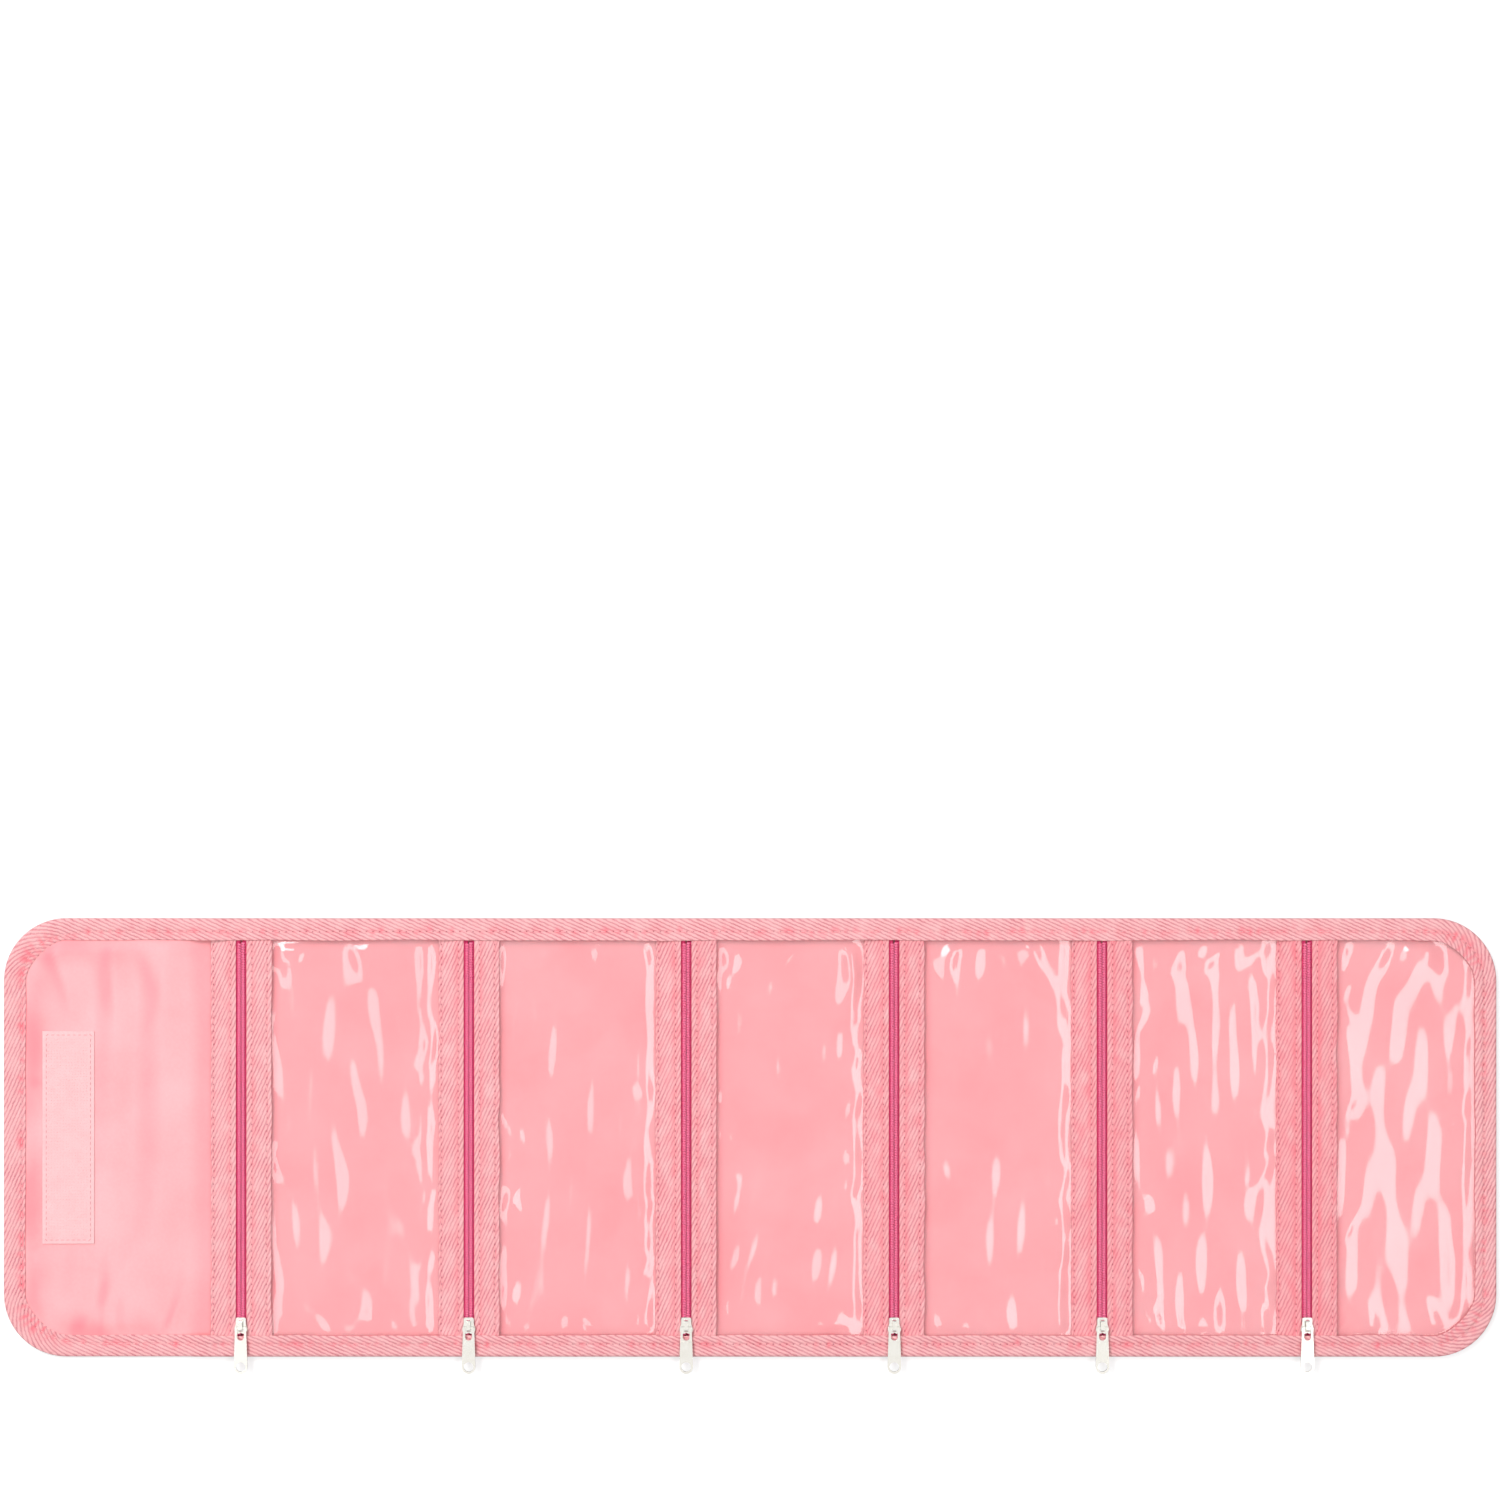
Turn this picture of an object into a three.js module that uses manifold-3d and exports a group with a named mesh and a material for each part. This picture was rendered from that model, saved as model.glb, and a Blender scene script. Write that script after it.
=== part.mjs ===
// Cash envelope wallet, opened out flat and face up: one long cloth strip with a closing
// flap at -X and six zipped pockets with clear fronts, all bound round the edge with
// folded twill tape. Millimetres, +Z up, X along the strip. The zips are shut, with their
// sliders parked at -Y and the pulls lying over the binding. The origin is the middle of
// the footprint, pulls included, on the surface that the wallet lies on.
import * as THREE from "three";
import * as BufferGeometryUtils from "three/addons/utils/BufferGeometryUtils.js";
import Module from "manifold-3d";

const wasm = await Module();
wasm.setup();

// Cloth, seen from above
const clothWidth = 210;
const flapLength = 114; // from the flap's end to the first zip
const pocketLengths = [109, 104, 99.5, 99.5, 98, 91]; // from each zip to the next, or to the end
const cornerRadius = 30;
const bindingWidth = 10.5; // of the folded tape, as it shows on either face

// Plies, by thickness
const bindingTape = 0.7;
const canvasPly = 0.6;
const liningPly = 0.25;
const zipTapePly = 0.4;
const filmPly = 0.25;
const stripPly = 0.6;
const plyGap = 0.1; // between plies that are sewn together
const edgeGap = 0.3; // from a ply's edge to the fold of the binding
const foldSteps = 6; // of the binding's round edge
const pocketDepth = 0.9; // how far the pocket fronts stand off the lining

// Where the pocket fronts rise from their seams
const edgeSeamFlat = 2.5; // pressed flat, measured from the outer edge
const edgeSeamLip = 1; // full height this far before the binding's inner edge
const dividerFlat = 2; // of the strip that is sewn down between two pockets
const dividerRise = 8;
const bindingSlope = 14; // of the binding, up onto the first divider strip
const bindingSlopeEnd = 2; // before the strip

// Zips and the twill strips that cover their tapes
const slotWidth = 5; // left open between two strips
const stripWidth = 12;
const zipTapeWidth = 12.05;
const filmTuck = 3.5; // of strip that shows before the film's edge lies under it
const filmSeam = 8.5; // of film that lies under the next strip
const coilWidth = 1.25; // of one row of teeth
const coilHeight = 1.4;
const coilSplit = 0.9; // between the two rows and between the two tapes
const coilEndGap = 0.3;

// Hook and loop closure
const closureWidth = 25;
const closureLength = 102;
const hookThickness = 0.9;
const loopThickness = 0.5;
const closureInset = 18.5; // from the flap's end
const closureCorner = 1;

// Zip slider
const sliderLength = 7.7;
const shoulderWidth = 6.2;
const tailWidth = 4.8;
const upperPlate = 0.7;
const lowerPlate = 0.5;
const sliderClearance = 0.3;
const sliderEndGap = 1; // from the slider to the binding
const wedgeWidth = 0.5;
const wedgeLength = 1.8;
const wedgeInset = 0.6; // behind the slider's front edge
const bridgeWidth = 1.8;
const bridgeLength = 5.6;
const bridgeWall = 0.65;

// Pull
const pivotOffset = 1; // of the pivot, from the slider's middle towards the pull
const pivotBar = 0.9;
const pullLength = 18.7; // from the pivot to the middle of the end ring
const pullNeckWidth = 5.3;
const pullRingRadius = 3.3;
const pullRingHole = 2.3;
const eyeWidth = 3.2;
const eyeLength = 6;
const pullPlate = 1.2;
const pullPlateStart = 6.7; // where the plate steps up from the thinner eye
const pullRestGap = 0.15; // over the binding, which it passes as the zip opens

// Heights of the undersides, from the table up, where the plies are pressed together
const canvasBottom = bindingTape + plyGap;
const liningBottom = canvasBottom + canvasPly + plyGap;
const liningTop = liningBottom + liningPly;
const zipTapeBottom = liningTop + plyGap;
const coilBottom = zipTapeBottom + zipTapePly + plyGap;
const filmBottom = coilBottom;
const stripBottom = filmBottom + filmPly + plyGap;
const stripTop = stripBottom + stripPly;
const bindingOverFlap = liningTop + plyGap;
const bindingOverPockets = stripTop + plyGap;

// Places along the strip
const clothLength = flapLength + pocketLengths.reduce((sum, length) => sum + length, 0);
const leftEnd = -clothLength / 2;
const rightEnd = clothLength / 2;
const zipPlaces = pocketLengths.map(
  (_, i) => leftEnd + flapLength + pocketLengths.slice(0, i).reduce((sum, length) => sum + length, 0),
);
const dividerPlaces = zipPlaces.map((x) => x - slotWidth / 2 - stripWidth);
const bindingRiseEnd = dividerPlaces[0] - bindingSlopeEnd;
const bindingRise = { start: bindingRiseEnd - bindingSlope, end: bindingRiseEnd };
const halfWidth = clothWidth / 2;
const plyInset = bindingTape + edgeGap;

const materials = {
  canvas: new THREE.MeshStandardMaterial({ color: 0xef8f98, roughness: 0.85, metalness: 0 }),
  lining: new THREE.MeshStandardMaterial({ color: 0xffb9bf, roughness: 0.45, metalness: 0 }),
  twill: new THREE.MeshStandardMaterial({ color: 0xf7a9b0, roughness: 0.8, metalness: 0 }),
  zipTape: new THREE.MeshStandardMaterial({ color: 0xd83a68, roughness: 0.7, metalness: 0 }),
  coil: new THREE.MeshStandardMaterial({ color: 0xf2547f, roughness: 0.4, metalness: 0 }),
  film: new THREE.MeshStandardMaterial({
    color: 0xfff4f4,
    roughness: 0.08,
    metalness: 0,
    transparent: true,
    opacity: 0.3,
  }),
  closure: new THREE.MeshStandardMaterial({ color: 0xffc9cc, roughness: 0.7, metalness: 0 }),
  nickel: new THREE.MeshStandardMaterial({ color: 0xe6e4de, roughness: 0.18, metalness: 1 }),
};

// A closed geometry as a solid for cutting and joining, and back again.
function toSolid(geometry) {
  const bare = geometry.index ? geometry.toNonIndexed() : geometry.clone();
  bare.deleteAttribute("normal");
  bare.deleteAttribute("uv");
  const merged = BufferGeometryUtils.mergeVertices(bare, 1e-4);
  return new wasm.Manifold(
    new wasm.Mesh({
      numProp: 3,
      vertProperties: merged.attributes.position.array,
      triVerts: new Uint32Array(merged.index.array),
    }),
  );
}

function toGeometry(solid) {
  const cut = solid.getMesh();
  const geometry = new THREE.BufferGeometry();
  geometry.setAttribute("position", new THREE.BufferAttribute(cut.vertProperties, 3));
  geometry.setIndex(new THREE.BufferAttribute(cut.triVerts, 1));
  geometry.computeVertexNormals();
  return geometry;
}

function part(name, geometry, material) {
  const mesh = new THREE.Mesh(geometry, material);
  mesh.name = name;
  return mesh;
}

// A flat shape in X and Y, raised from bottom by thickness.
function prism(shape, bottom, thickness, curveSegments = 8) {
  const settings = { depth: thickness, bevelEnabled: false, curveSegments };
  return new THREE.ExtrudeGeometry(shape, settings).translate(0, 0, bottom);
}

function roundedRectangle(length, width, radius) {
  const [x, y] = [length / 2, width / 2];
  const shape = new THREE.Shape();
  shape.moveTo(-x + radius, -y);
  shape.lineTo(x - radius, -y);
  shape.absarc(x - radius, -y + radius, radius, -Math.PI / 2, 0);
  shape.lineTo(x, y - radius);
  shape.absarc(x - radius, y - radius, radius, 0, Math.PI / 2);
  shape.lineTo(-x + radius, y);
  shape.absarc(-x + radius, y - radius, radius, Math.PI / 2, Math.PI);
  shape.lineTo(-x, -y + radius);
  shape.absarc(-x + radius, -y + radius, radius, Math.PI, Math.PI * 1.5);
  return shape;
}

function clothOutline(inset) {
  return roundedRectangle(clothLength - 2 * inset, clothWidth - 2 * inset, cornerRadius - inset);
}

// A soft step from 0 to 1, in three straight runs.
const riseStops = [0, 1 / 3, 2 / 3, 1];
function rise(t) {
  const smooth = (s) => s * s * (3 - 2 * s);
  const place = THREE.MathUtils.clamp(t, 0, 1) * (riseStops.length - 1);
  const stop = Math.min(Math.floor(place), riseStops.length - 2);
  return THREE.MathUtils.lerp(smooth(riseStops[stop]), smooth(riseStops[stop + 1]), place - stop);
}

const edgeRise = bindingWidth - edgeSeamLip - edgeSeamFlat;
function riseFromEdge(distance) {
  return rise((distance - edgeSeamFlat) / edgeRise);
}

// Distance from the cloth's rounded outer edge to a point inside it.
function edgeDistance(x, y) {
  const beyondX = Math.abs(x) - (clothLength / 2 - cornerRadius);
  const beyondY = Math.abs(y) - (halfWidth - cornerRadius);
  if (beyondX > 0 && beyondY > 0) return cornerRadius - Math.hypot(beyondX, beyondY);
  return cornerRadius - Math.max(beyondX, beyondY);
}

// A divider is sewn down along a flat stretch from the strip's outer edge.
function riseFromDividers(x) {
  const share = dividerPlaces.map((place) =>
    x < place + dividerFlat / 2
      ? rise((place - x) / dividerRise)
      : rise((x - place - dividerFlat) / dividerRise),
  );
  return Math.min(...share);
}

function pocketLift(x, y) {
  return pocketDepth * riseFromDividers(x) * riseFromEdge(edgeDistance(x, y));
}

// The places where the pocket fronts change slope, between two ends.
function stationsAlong(from, to) {
  const stops = dividerPlaces.flatMap((place) =>
    riseStops.flatMap((stop) => [
      place - stop * dividerRise,
      place + dividerFlat + stop * dividerRise,
    ]),
  );
  const inside = stops.filter((x) => x > from + 0.01 && x < to - 0.01);
  return [from, ...inside.sort((a, b) => a - b), to];
}

function stationsAcross() {
  const stops = riseStops.map((stop) => halfWidth - edgeSeamFlat - stop * edgeRise);
  const half = [halfWidth - plyInset, ...stops];
  return [...half.map((y) => -y), ...half.reverse()];
}

// A ply of the pocket fronts: flat where it is sewn down, lifted over each pocket.
function liftedPly(xs, ys, bottom, thickness) {
  const [columns, rows] = [xs.length - 1, ys.length - 1];
  const geometry = new THREE.BoxGeometry(columns, rows, 1, columns, rows, 1);
  const position = geometry.attributes.position;
  for (let i = 0; i < position.count; i++) {
    const x = xs[Math.round(position.getX(i) + columns / 2)];
    const y = ys[Math.round(position.getY(i) + rows / 2)];
    const top = position.getZ(i) > 0 ? thickness : 0;
    position.setXYZ(i, x, y, bottom + top + pocketLift(x, y));
  }
  geometry.computeVertexNormals();
  return geometry;
}

// Base of the wallet

function outerCover() {
  return part("outer_cover", prism(clothOutline(plyInset), canvasBottom, canvasPly), materials.canvas);
}

function lining() {
  return part("lining", prism(clothOutline(plyInset), liningBottom, liningPly), materials.lining);
}

// The binding's section, as [distance in from the outer edge, height] round the folded tape.
// pockets is 0 along the flap and 1 where the pocket fronts are bound in.
function bindingSection(pockets) {
  const over = THREE.MathUtils.lerp(bindingOverFlap, bindingOverPockets, pockets);
  const lip = (distance) => pockets * pocketDepth * riseFromEdge(distance);
  const fold = new THREE.Vector2(bindingTape * 1.6, (over + bindingTape) / 2);
  const foldPoints = Array.from({ length: foldSteps + 1 }, (_, step) => {
    const angle = (step / foldSteps) * Math.PI;
    return [fold.x * (1 - Math.sin(angle)), fold.y * (1 - Math.cos(angle))];
  });
  const slope = riseStops.map((stop) => edgeSeamFlat + stop * edgeRise);
  const upper = [...slope, bindingWidth].map((d) => [d, over + bindingTape + lip(d)]);
  const under = [bindingWidth, ...slope.reverse(), bindingTape].map((d) => [d, over + lip(d)]);
  return [
    [bindingWidth, 0],
    ...foldPoints,
    ...upper,
    ...under,
    [bindingTape, bindingTape],
    [bindingWidth, bindingTape],
  ];
}

// Points round the cloth's outer edge, anticlockwise, each with the direction inwards.
function edgePath(cornerSteps = 8) {
  const [x, y] = [clothLength / 2 - cornerRadius, halfWidth - cornerRadius];
  const corner = (centreX, centreY, turn) =>
    Array.from({ length: cornerSteps + 1 }, (_, step) => {
      const angle = (turn + step / cornerSteps) * (Math.PI / 2);
      const outwards = new THREE.Vector2(Math.cos(angle), Math.sin(angle));
      const point = outwards.clone().multiplyScalar(cornerRadius).add({ x: centreX, y: centreY });
      return { point, inwards: outwards.negate() };
    });
  const side = (places, edge) =>
    places.map((place) => ({
      point: new THREE.Vector2(place, edge),
      inwards: new THREE.Vector2(0, -Math.sign(edge)),
    }));
  return [
    ...corner(-x, -y, 2),
    ...side([bindingRise.start, bindingRise.end], -halfWidth),
    ...corner(x, -y, 3),
    ...corner(x, y, 0),
    ...side([bindingRise.end, bindingRise.start], halfWidth),
    ...corner(-x, y, 1),
  ];
}

function edgeBinding() {
  const path = edgePath();
  const count = bindingSection(0).length;
  const positions = path.flatMap(({ point, inwards }) => {
    const along = (point.x - bindingRise.start) / (bindingRise.end - bindingRise.start);
    const section = bindingSection(THREE.MathUtils.clamp(along, 0, 1));
    return section.flatMap(([d, z]) => [point.x + inwards.x * d, point.y + inwards.y * d, z]);
  });
  const indices = path.flatMap((_, ring) =>
    Array.from({ length: count }, (__, i) => {
      const [a, b] = [ring * count + i, ring * count + ((i + 1) % count)];
      const next = ((ring + 1) % path.length) * count;
      const [c, d] = [next + ((i + 1) % count), next + i];
      return [a, d, c, a, c, b];
    }).flat(),
  );
  const geometry = new THREE.BufferGeometry();
  geometry.setAttribute("position", new THREE.Float32BufferAttribute(positions, 3));
  geometry.setIndex(indices);
  geometry.computeVertexNormals();
  return part("edge_binding", geometry, materials.twill);
}

// Closure: hooks inside the flap, loops on the outer cover. When the wallet is folded up,
// the flap turns over at the first zip and the loops come up from the third.

const hookPlace = leftEnd + closureInset + closureWidth / 2;
const loopPlace = zipPlaces[2] - (zipPlaces[0] - hookPlace);

function closureTape(name, place, bottom, thickness) {
  const shape = roundedRectangle(closureWidth, closureLength, closureCorner);
  const tape = part(name, prism(shape, bottom, thickness, 2), materials.closure);
  tape.position.x = place;
  return tape;
}

// Zips

function zipTape(name, zip, side) {
  const [inner, outer] = [zip + (side * coilSplit) / 2, zip + side * (coilSplit / 2 + zipTapeWidth)];
  const xs = stationsAlong(Math.min(inner, outer), Math.max(inner, outer));
  return part(name, liftedPly(xs, stationsAcross(), zipTapeBottom, zipTapePly), materials.zipTape);
}

// One row of teeth, as a bar with a rounded top. It ends at the binding.
function zipCoil(name, zip, side) {
  const length = clothWidth - 2 * (bindingWidth + coilEndGap);
  const round = coilWidth / 3;
  const section = new THREE.Shape();
  section.moveTo(0, 0);
  section.lineTo(coilWidth, 0);
  section.lineTo(coilWidth, coilHeight - round);
  section.quadraticCurveTo(coilWidth, coilHeight, coilWidth - round, coilHeight);
  section.lineTo(round, coilHeight);
  section.quadraticCurveTo(0, coilHeight, 0, coilHeight - round);
  const settings = { depth: length, bevelEnabled: false, curveSegments: 2 };
  const geometry = new THREE.ExtrudeGeometry(section, settings);
  geometry.rotateX(Math.PI / 2).translate(-coilWidth / 2, length / 2, coilBottom + pocketDepth);
  const coil = part(name, geometry, materials.coil);
  coil.position.x = zip + (side * (coilSplit + coilWidth)) / 2;
  return coil;
}

function coverStrip(name, zip, side) {
  const [inner, outer] = [zip + (side * slotWidth) / 2, zip + side * (slotWidth / 2 + stripWidth)];
  const xs = stationsAlong(Math.min(inner, outer), Math.max(inner, outer));
  return part(name, liftedPly(xs, stationsAcross(), stripBottom, stripPly), materials.twill);
}

// Pocket fronts

function pocketFilm(name, index) {
  const from = zipPlaces[index] + slotWidth / 2 + filmTuck;
  if (index < zipPlaces.length - 1) {
    const xs = stationsAlong(from, dividerPlaces[index + 1] + filmSeam);
    return part(name, liftedPly(xs, stationsAcross(), filmBottom, filmPly), materials.film);
  }
  // The last film runs into the binding at the end, so it is cut to the rounded corners.
  const corner = [0, 0.25, 0.5, 0.75, 1].map((share) => share * (cornerRadius - bindingWidth));
  const cornerXs = corner.map((inward) => rightEnd - bindingWidth - inward).reverse();
  const cornerYs = corner.map((inward) => halfWidth - bindingWidth - inward);
  const slope = riseStops.map((stop) => rightEnd - edgeSeamFlat - stop * edgeRise).reverse();
  const xs = [from, ...cornerXs, ...slope, rightEnd - plyInset];
  const ys = [...stationsAcross(), ...cornerYs, ...cornerYs.map((y) => -y)].sort((a, b) => a - b);
  const sheet = toSolid(liftedPly(xs, ys, filmBottom, filmPly));
  const outline = toSolid(prism(clothOutline(plyInset), 0, bindingOverPockets + pocketDepth));
  return part(name, toGeometry(sheet.intersect(outline)), materials.film);
}

// Slider: one casting, its two plates joined by the wedge between the rows of teeth.

const lowerPlateBottom = (liningTop + zipTapeBottom + pocketDepth - lowerPlate) / 2;
const upperPlateBottom = coilBottom + pocketDepth + coilHeight + sliderClearance;
const upperPlateTop = upperPlateBottom + upperPlate;
const pivotHeight = upperPlateTop + sliderClearance + pivotBar / 2;

// The plates widen from the tail, at +Y, to the shoulders where the rows come in.
function sliderPlate() {
  const [tail, shoulder, end] = [tailWidth / 2, shoulderWidth / 2, sliderLength / 2];
  const half = [
    [0, end],
    [tail - 0.5, end],
    [tail, end - 0.6],
    [tail, end * 0.2],
    [shoulder, -end * 0.35],
    [shoulder, -end * 0.6],
    [shoulder - 0.7, -end],
    [0.9, -end],
    [0, -end + 0.5],
  ];
  const points = half.map(([x, y]) => new THREE.Vector2(x, y));
  const mirrored = points.slice(1, -1).map(({ x, y }) => new THREE.Vector2(-x, y));
  return new THREE.Shape([...points, ...mirrored.reverse()].reverse());
}

function sliderLips() {
  const inner = coilSplit / 2 + coilWidth + sliderClearance;
  const thickness = tailWidth / 2 - inner;
  const bottom = zipTapeBottom + zipTapePly + pocketDepth + sliderClearance;
  const height = upperPlateBottom - bottom + upperPlate / 2;
  const length = sliderLength * 0.75;
  return [-1, 1].map((side) =>
    toSolid(
      new THREE.BoxGeometry(thickness, length, height).translate(
        side * (inner + thickness / 2),
        0,
        bottom + height / 2,
      ),
    ),
  );
}

function sliderWedge() {
  const height = upperPlateTop - lowerPlateBottom - (upperPlate + lowerPlate) / 2;
  const middle = -sliderLength / 2 + wedgeInset + wedgeLength / 2;
  const outline = new THREE.Shape();
  outline.absellipse(0, middle, wedgeWidth / 2, wedgeLength / 2, 0, Math.PI * 2);
  return toSolid(prism(outline, lowerPlateBottom + lowerPlate / 2, height, 4));
}

// The arch that holds the pull, its opening long enough for the bar to slide in.
function sliderBridge() {
  const opening = pivotBar + 2 * sliderClearance;
  const outer = opening + bridgeWall;
  const half = bridgeLength / 2;
  const sunk = upperPlate / 2;
  const arch = new THREE.Shape();
  arch.moveTo(-half, -sunk);
  arch.lineTo(half, -sunk);
  arch.lineTo(half, outer * 0.45);
  arch.quadraticCurveTo(half, outer, half * 0.45, outer);
  arch.lineTo(-half * 0.45, outer);
  arch.quadraticCurveTo(-half, outer, -half, outer * 0.45);
  const hole = new THREE.Path();
  const inner = half - bridgeWall;
  hole.moveTo(-inner, 0);
  hole.lineTo(-inner, opening * 0.55);
  hole.quadraticCurveTo(-inner, opening, -inner * 0.55, opening);
  hole.lineTo(inner * 0.55, opening);
  hole.quadraticCurveTo(inner, opening, inner, opening * 0.55);
  hole.lineTo(inner, 0);
  arch.holes.push(hole);
  const settings = { depth: bridgeWidth, bevelEnabled: false, curveSegments: 4 };
  const geometry = new THREE.ExtrudeGeometry(arch, settings);
  geometry.translate(0, 0, -bridgeWidth / 2).rotateX(Math.PI / 2).rotateZ(Math.PI / 2);
  return toSolid(geometry.translate(0, 0, upperPlateTop));
}

function slider(name) {
  const pieces = [
    toSolid(prism(sliderPlate(), lowerPlateBottom, lowerPlate)),
    ...sliderLips(),
    sliderWedge(),
    sliderBridge(),
  ];
  const upper = toSolid(prism(sliderPlate(), upperPlateBottom, upperPlate));
  const casting = pieces.reduce((whole, piece) => whole.add(piece), upper);
  return part(name, toGeometry(casting), materials.nickel);
}

// Pull: a bar through the bridge, an open eye, and a plate that ends in a ring. It is
// drawn with the bar on the origin and the plate towards -Y.

function pullOutline(start) {
  const neck = pullNeckWidth / 2;
  const wide = THREE.MathUtils.lerp(neck, pullRingRadius, start / pullLength);
  const outline = new THREE.Shape();
  outline.moveTo(-pullRingRadius, -pullLength);
  outline.absarc(0, -pullLength, pullRingRadius, Math.PI, Math.PI * 2);
  outline.lineTo(wide, -start);
  if (start === 0) {
    const end = pivotBar / 2;
    outline.quadraticCurveTo(neck, end, neck - end, end);
    outline.lineTo(-neck + end, end);
    outline.quadraticCurveTo(-neck, end, -neck, 0);
  } else {
    outline.lineTo(-wide, -start);
  }
  const ring = new THREE.Path();
  ring.absarc(0, -pullLength, pullRingHole, 0, Math.PI * 2, true);
  outline.holes.push(ring);
  return outline;
}

function pull(name) {
  const thin = pullOutline(0);
  const eye = new THREE.Path();
  const [half, far] = [eyeWidth / 2, -eyeLength + eyeWidth / 2];
  eye.moveTo(-half, -pivotBar / 2);
  eye.lineTo(half, -pivotBar / 2);
  eye.lineTo(half, far);
  eye.absarc(0, far, half, 0, -Math.PI, true);
  thin.holes.push(eye);
  const web = toSolid(prism(thin, -pivotBar / 2, pivotBar, 6));
  const plate = toSolid(prism(pullOutline(pullPlateStart), -pullPlate / 2, pullPlate, 6));
  return part(name, toGeometry(web.add(plate)), materials.nickel);
}

// Where each slider is parked, and how far the pull droops: its end just clears the
// binding's inner edge, the highest thing that it passes.
const sliderPark = -halfWidth + bindingWidth + sliderEndGap + sliderLength / 2;
const bindingLipTop = bindingOverPockets + bindingTape + pocketDepth;
const pullFarEnd = pullLength + pullRingRadius;
const pullDroop = Math.asin((pivotHeight - pullPlate / 2 - pullRestGap - bindingLipTop) / pullFarEnd);
const pullSpan = pullFarEnd * Math.cos(pullDroop) + (pullPlate / 2) * Math.sin(pullDroop);
const pullReach = sliderPark - pivotOffset - pullSpan;

function zipMechanism(number, zip) {
  const moving = new THREE.Group();
  moving.position.set(zip, sliderPark, 0);
  const hinge = new THREE.Group();
  hinge.position.set(0, -pivotOffset, pivotHeight);
  hinge.rotation.x = pullDroop;
  hinge.add(pull(`zip${number}_pull`));
  moving.add(slider(`zip${number}_slider`), hinge);
  return moving;
}

function pocket(index) {
  const number = index + 1;
  const zip = zipPlaces[index];
  const group = new THREE.Group();
  group.add(
    zipTape(`zip${number}_tape_left`, zip, -1),
    zipTape(`zip${number}_tape_right`, zip, 1),
    zipCoil(`zip${number}_coil_left`, zip, -1),
    zipCoil(`zip${number}_coil_right`, zip, 1),
    coverStrip(`divider_strip_${number}`, zip, -1),
    coverStrip(`window_strip_${number}`, zip, 1),
    pocketFilm(`window_film_${number}`, index),
    zipMechanism(number, zip),
  );
  return group;
}

const wallet = new THREE.Group();
wallet.add(
  outerCover(),
  lining(),
  edgeBinding(),
  closureTape("hook_tape", hookPlace, liningTop + plyGap, hookThickness),
  closureTape("loop_tape", loopPlace, canvasBottom - plyGap - loopThickness, loopThickness),
  ...zipPlaces.map((_, index) => pocket(index)),
);

// The pulls reach past the cloth, so the middle of the footprint is a little below its middle.
wallet.position.y = (-pullReach - halfWidth) / 2;

const frame = new THREE.Group();
frame.add(wallet);

export default frame;
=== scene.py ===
import math

import bmesh
import bpy
import numpy as np
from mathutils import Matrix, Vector


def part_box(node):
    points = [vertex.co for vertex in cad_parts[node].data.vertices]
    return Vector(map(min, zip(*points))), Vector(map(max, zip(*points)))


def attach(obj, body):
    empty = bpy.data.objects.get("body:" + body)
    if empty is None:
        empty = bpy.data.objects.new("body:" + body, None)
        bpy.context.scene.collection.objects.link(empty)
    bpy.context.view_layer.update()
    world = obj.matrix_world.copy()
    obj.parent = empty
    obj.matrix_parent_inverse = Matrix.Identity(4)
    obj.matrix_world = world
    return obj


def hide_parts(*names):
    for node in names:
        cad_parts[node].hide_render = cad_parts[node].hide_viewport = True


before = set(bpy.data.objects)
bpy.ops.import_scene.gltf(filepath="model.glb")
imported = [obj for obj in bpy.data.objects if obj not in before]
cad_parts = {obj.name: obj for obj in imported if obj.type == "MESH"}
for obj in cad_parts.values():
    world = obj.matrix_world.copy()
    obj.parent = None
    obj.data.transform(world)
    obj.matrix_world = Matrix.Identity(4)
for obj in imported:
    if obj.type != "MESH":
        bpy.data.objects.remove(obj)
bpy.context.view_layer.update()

mm = 0.001

# The cloth, in mm, in its own frame: X along the strip, Y across it, the table at zero.
# Heights are those of the plies' undersides where they are sewn flat.
cloth = {
    "length": 715,
    "width": 210,
    "corner": 30,
    "inset": 1,            # the sheets end this far inside the edge
    "slack": 0.02,         # and are thinner by this than the solids that they stand for
    "bindingWidth": 10.5,
    "bindingTape": 0.7,
    "pocketDepth": 0.9,    # how far the pocket fronts stand off the lining
    "seamFlat": 2.5,       # pressed flat along the edge
    "seamRise": 7,         # then rising to the pocket's depth
    "dividerFlat": 2,
    "dividerRise": 8,
    "slotHalf": 2.5,
    "stripWidth": 12,
    "filmTuck": 3.5,       # of strip before the film's edge lies under it
    "filmSeam": 8.5,       # of film under the next strip
    "canvas": (0.8, 0.6),  # height and thickness
    "lining": (1.5, 0.25),
    "zipTape": (1.85, 0.4),
    "film": (2.35, 0.25),
    "strip": (2.7, 0.6),
    "coil": (2.35, 1.4),
    "overFlap": 1.85,      # the binding's upper half, on the lining or on the pocket fronts
    "overPockets": 3.4,
}
zipPlaces = [
    (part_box(f"zip{n}_coil_left")[0][0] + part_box(f"zip{n}_coil_right")[1][0]) / 2 / mm
    for n in range(1, 7)
]
dividerPlaces = [x - cloth["slotHalf"] - cloth["stripWidth"] for x in zipPlaces]
clothShift = (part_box("outer_cover")[0][1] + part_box("outer_cover")[1][1]) / 2 / mm
halfLength, halfWidth = cloth["length"] / 2, cloth["width"] / 2
sheetHalfLength, sheetHalfWidth = halfLength - cloth["inset"], halfWidth - cloth["inset"]


# Shapes of the cloth, worked out for whole arrays of points at once

def softStep(t):
    t = np.clip(t, 0, 1)
    return t * t * (3 - 2 * t)


def bell(distance, width):
    # 1 in the middle, and smoothly down to 0
    return np.exp(-(distance / width) ** 2)


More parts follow.
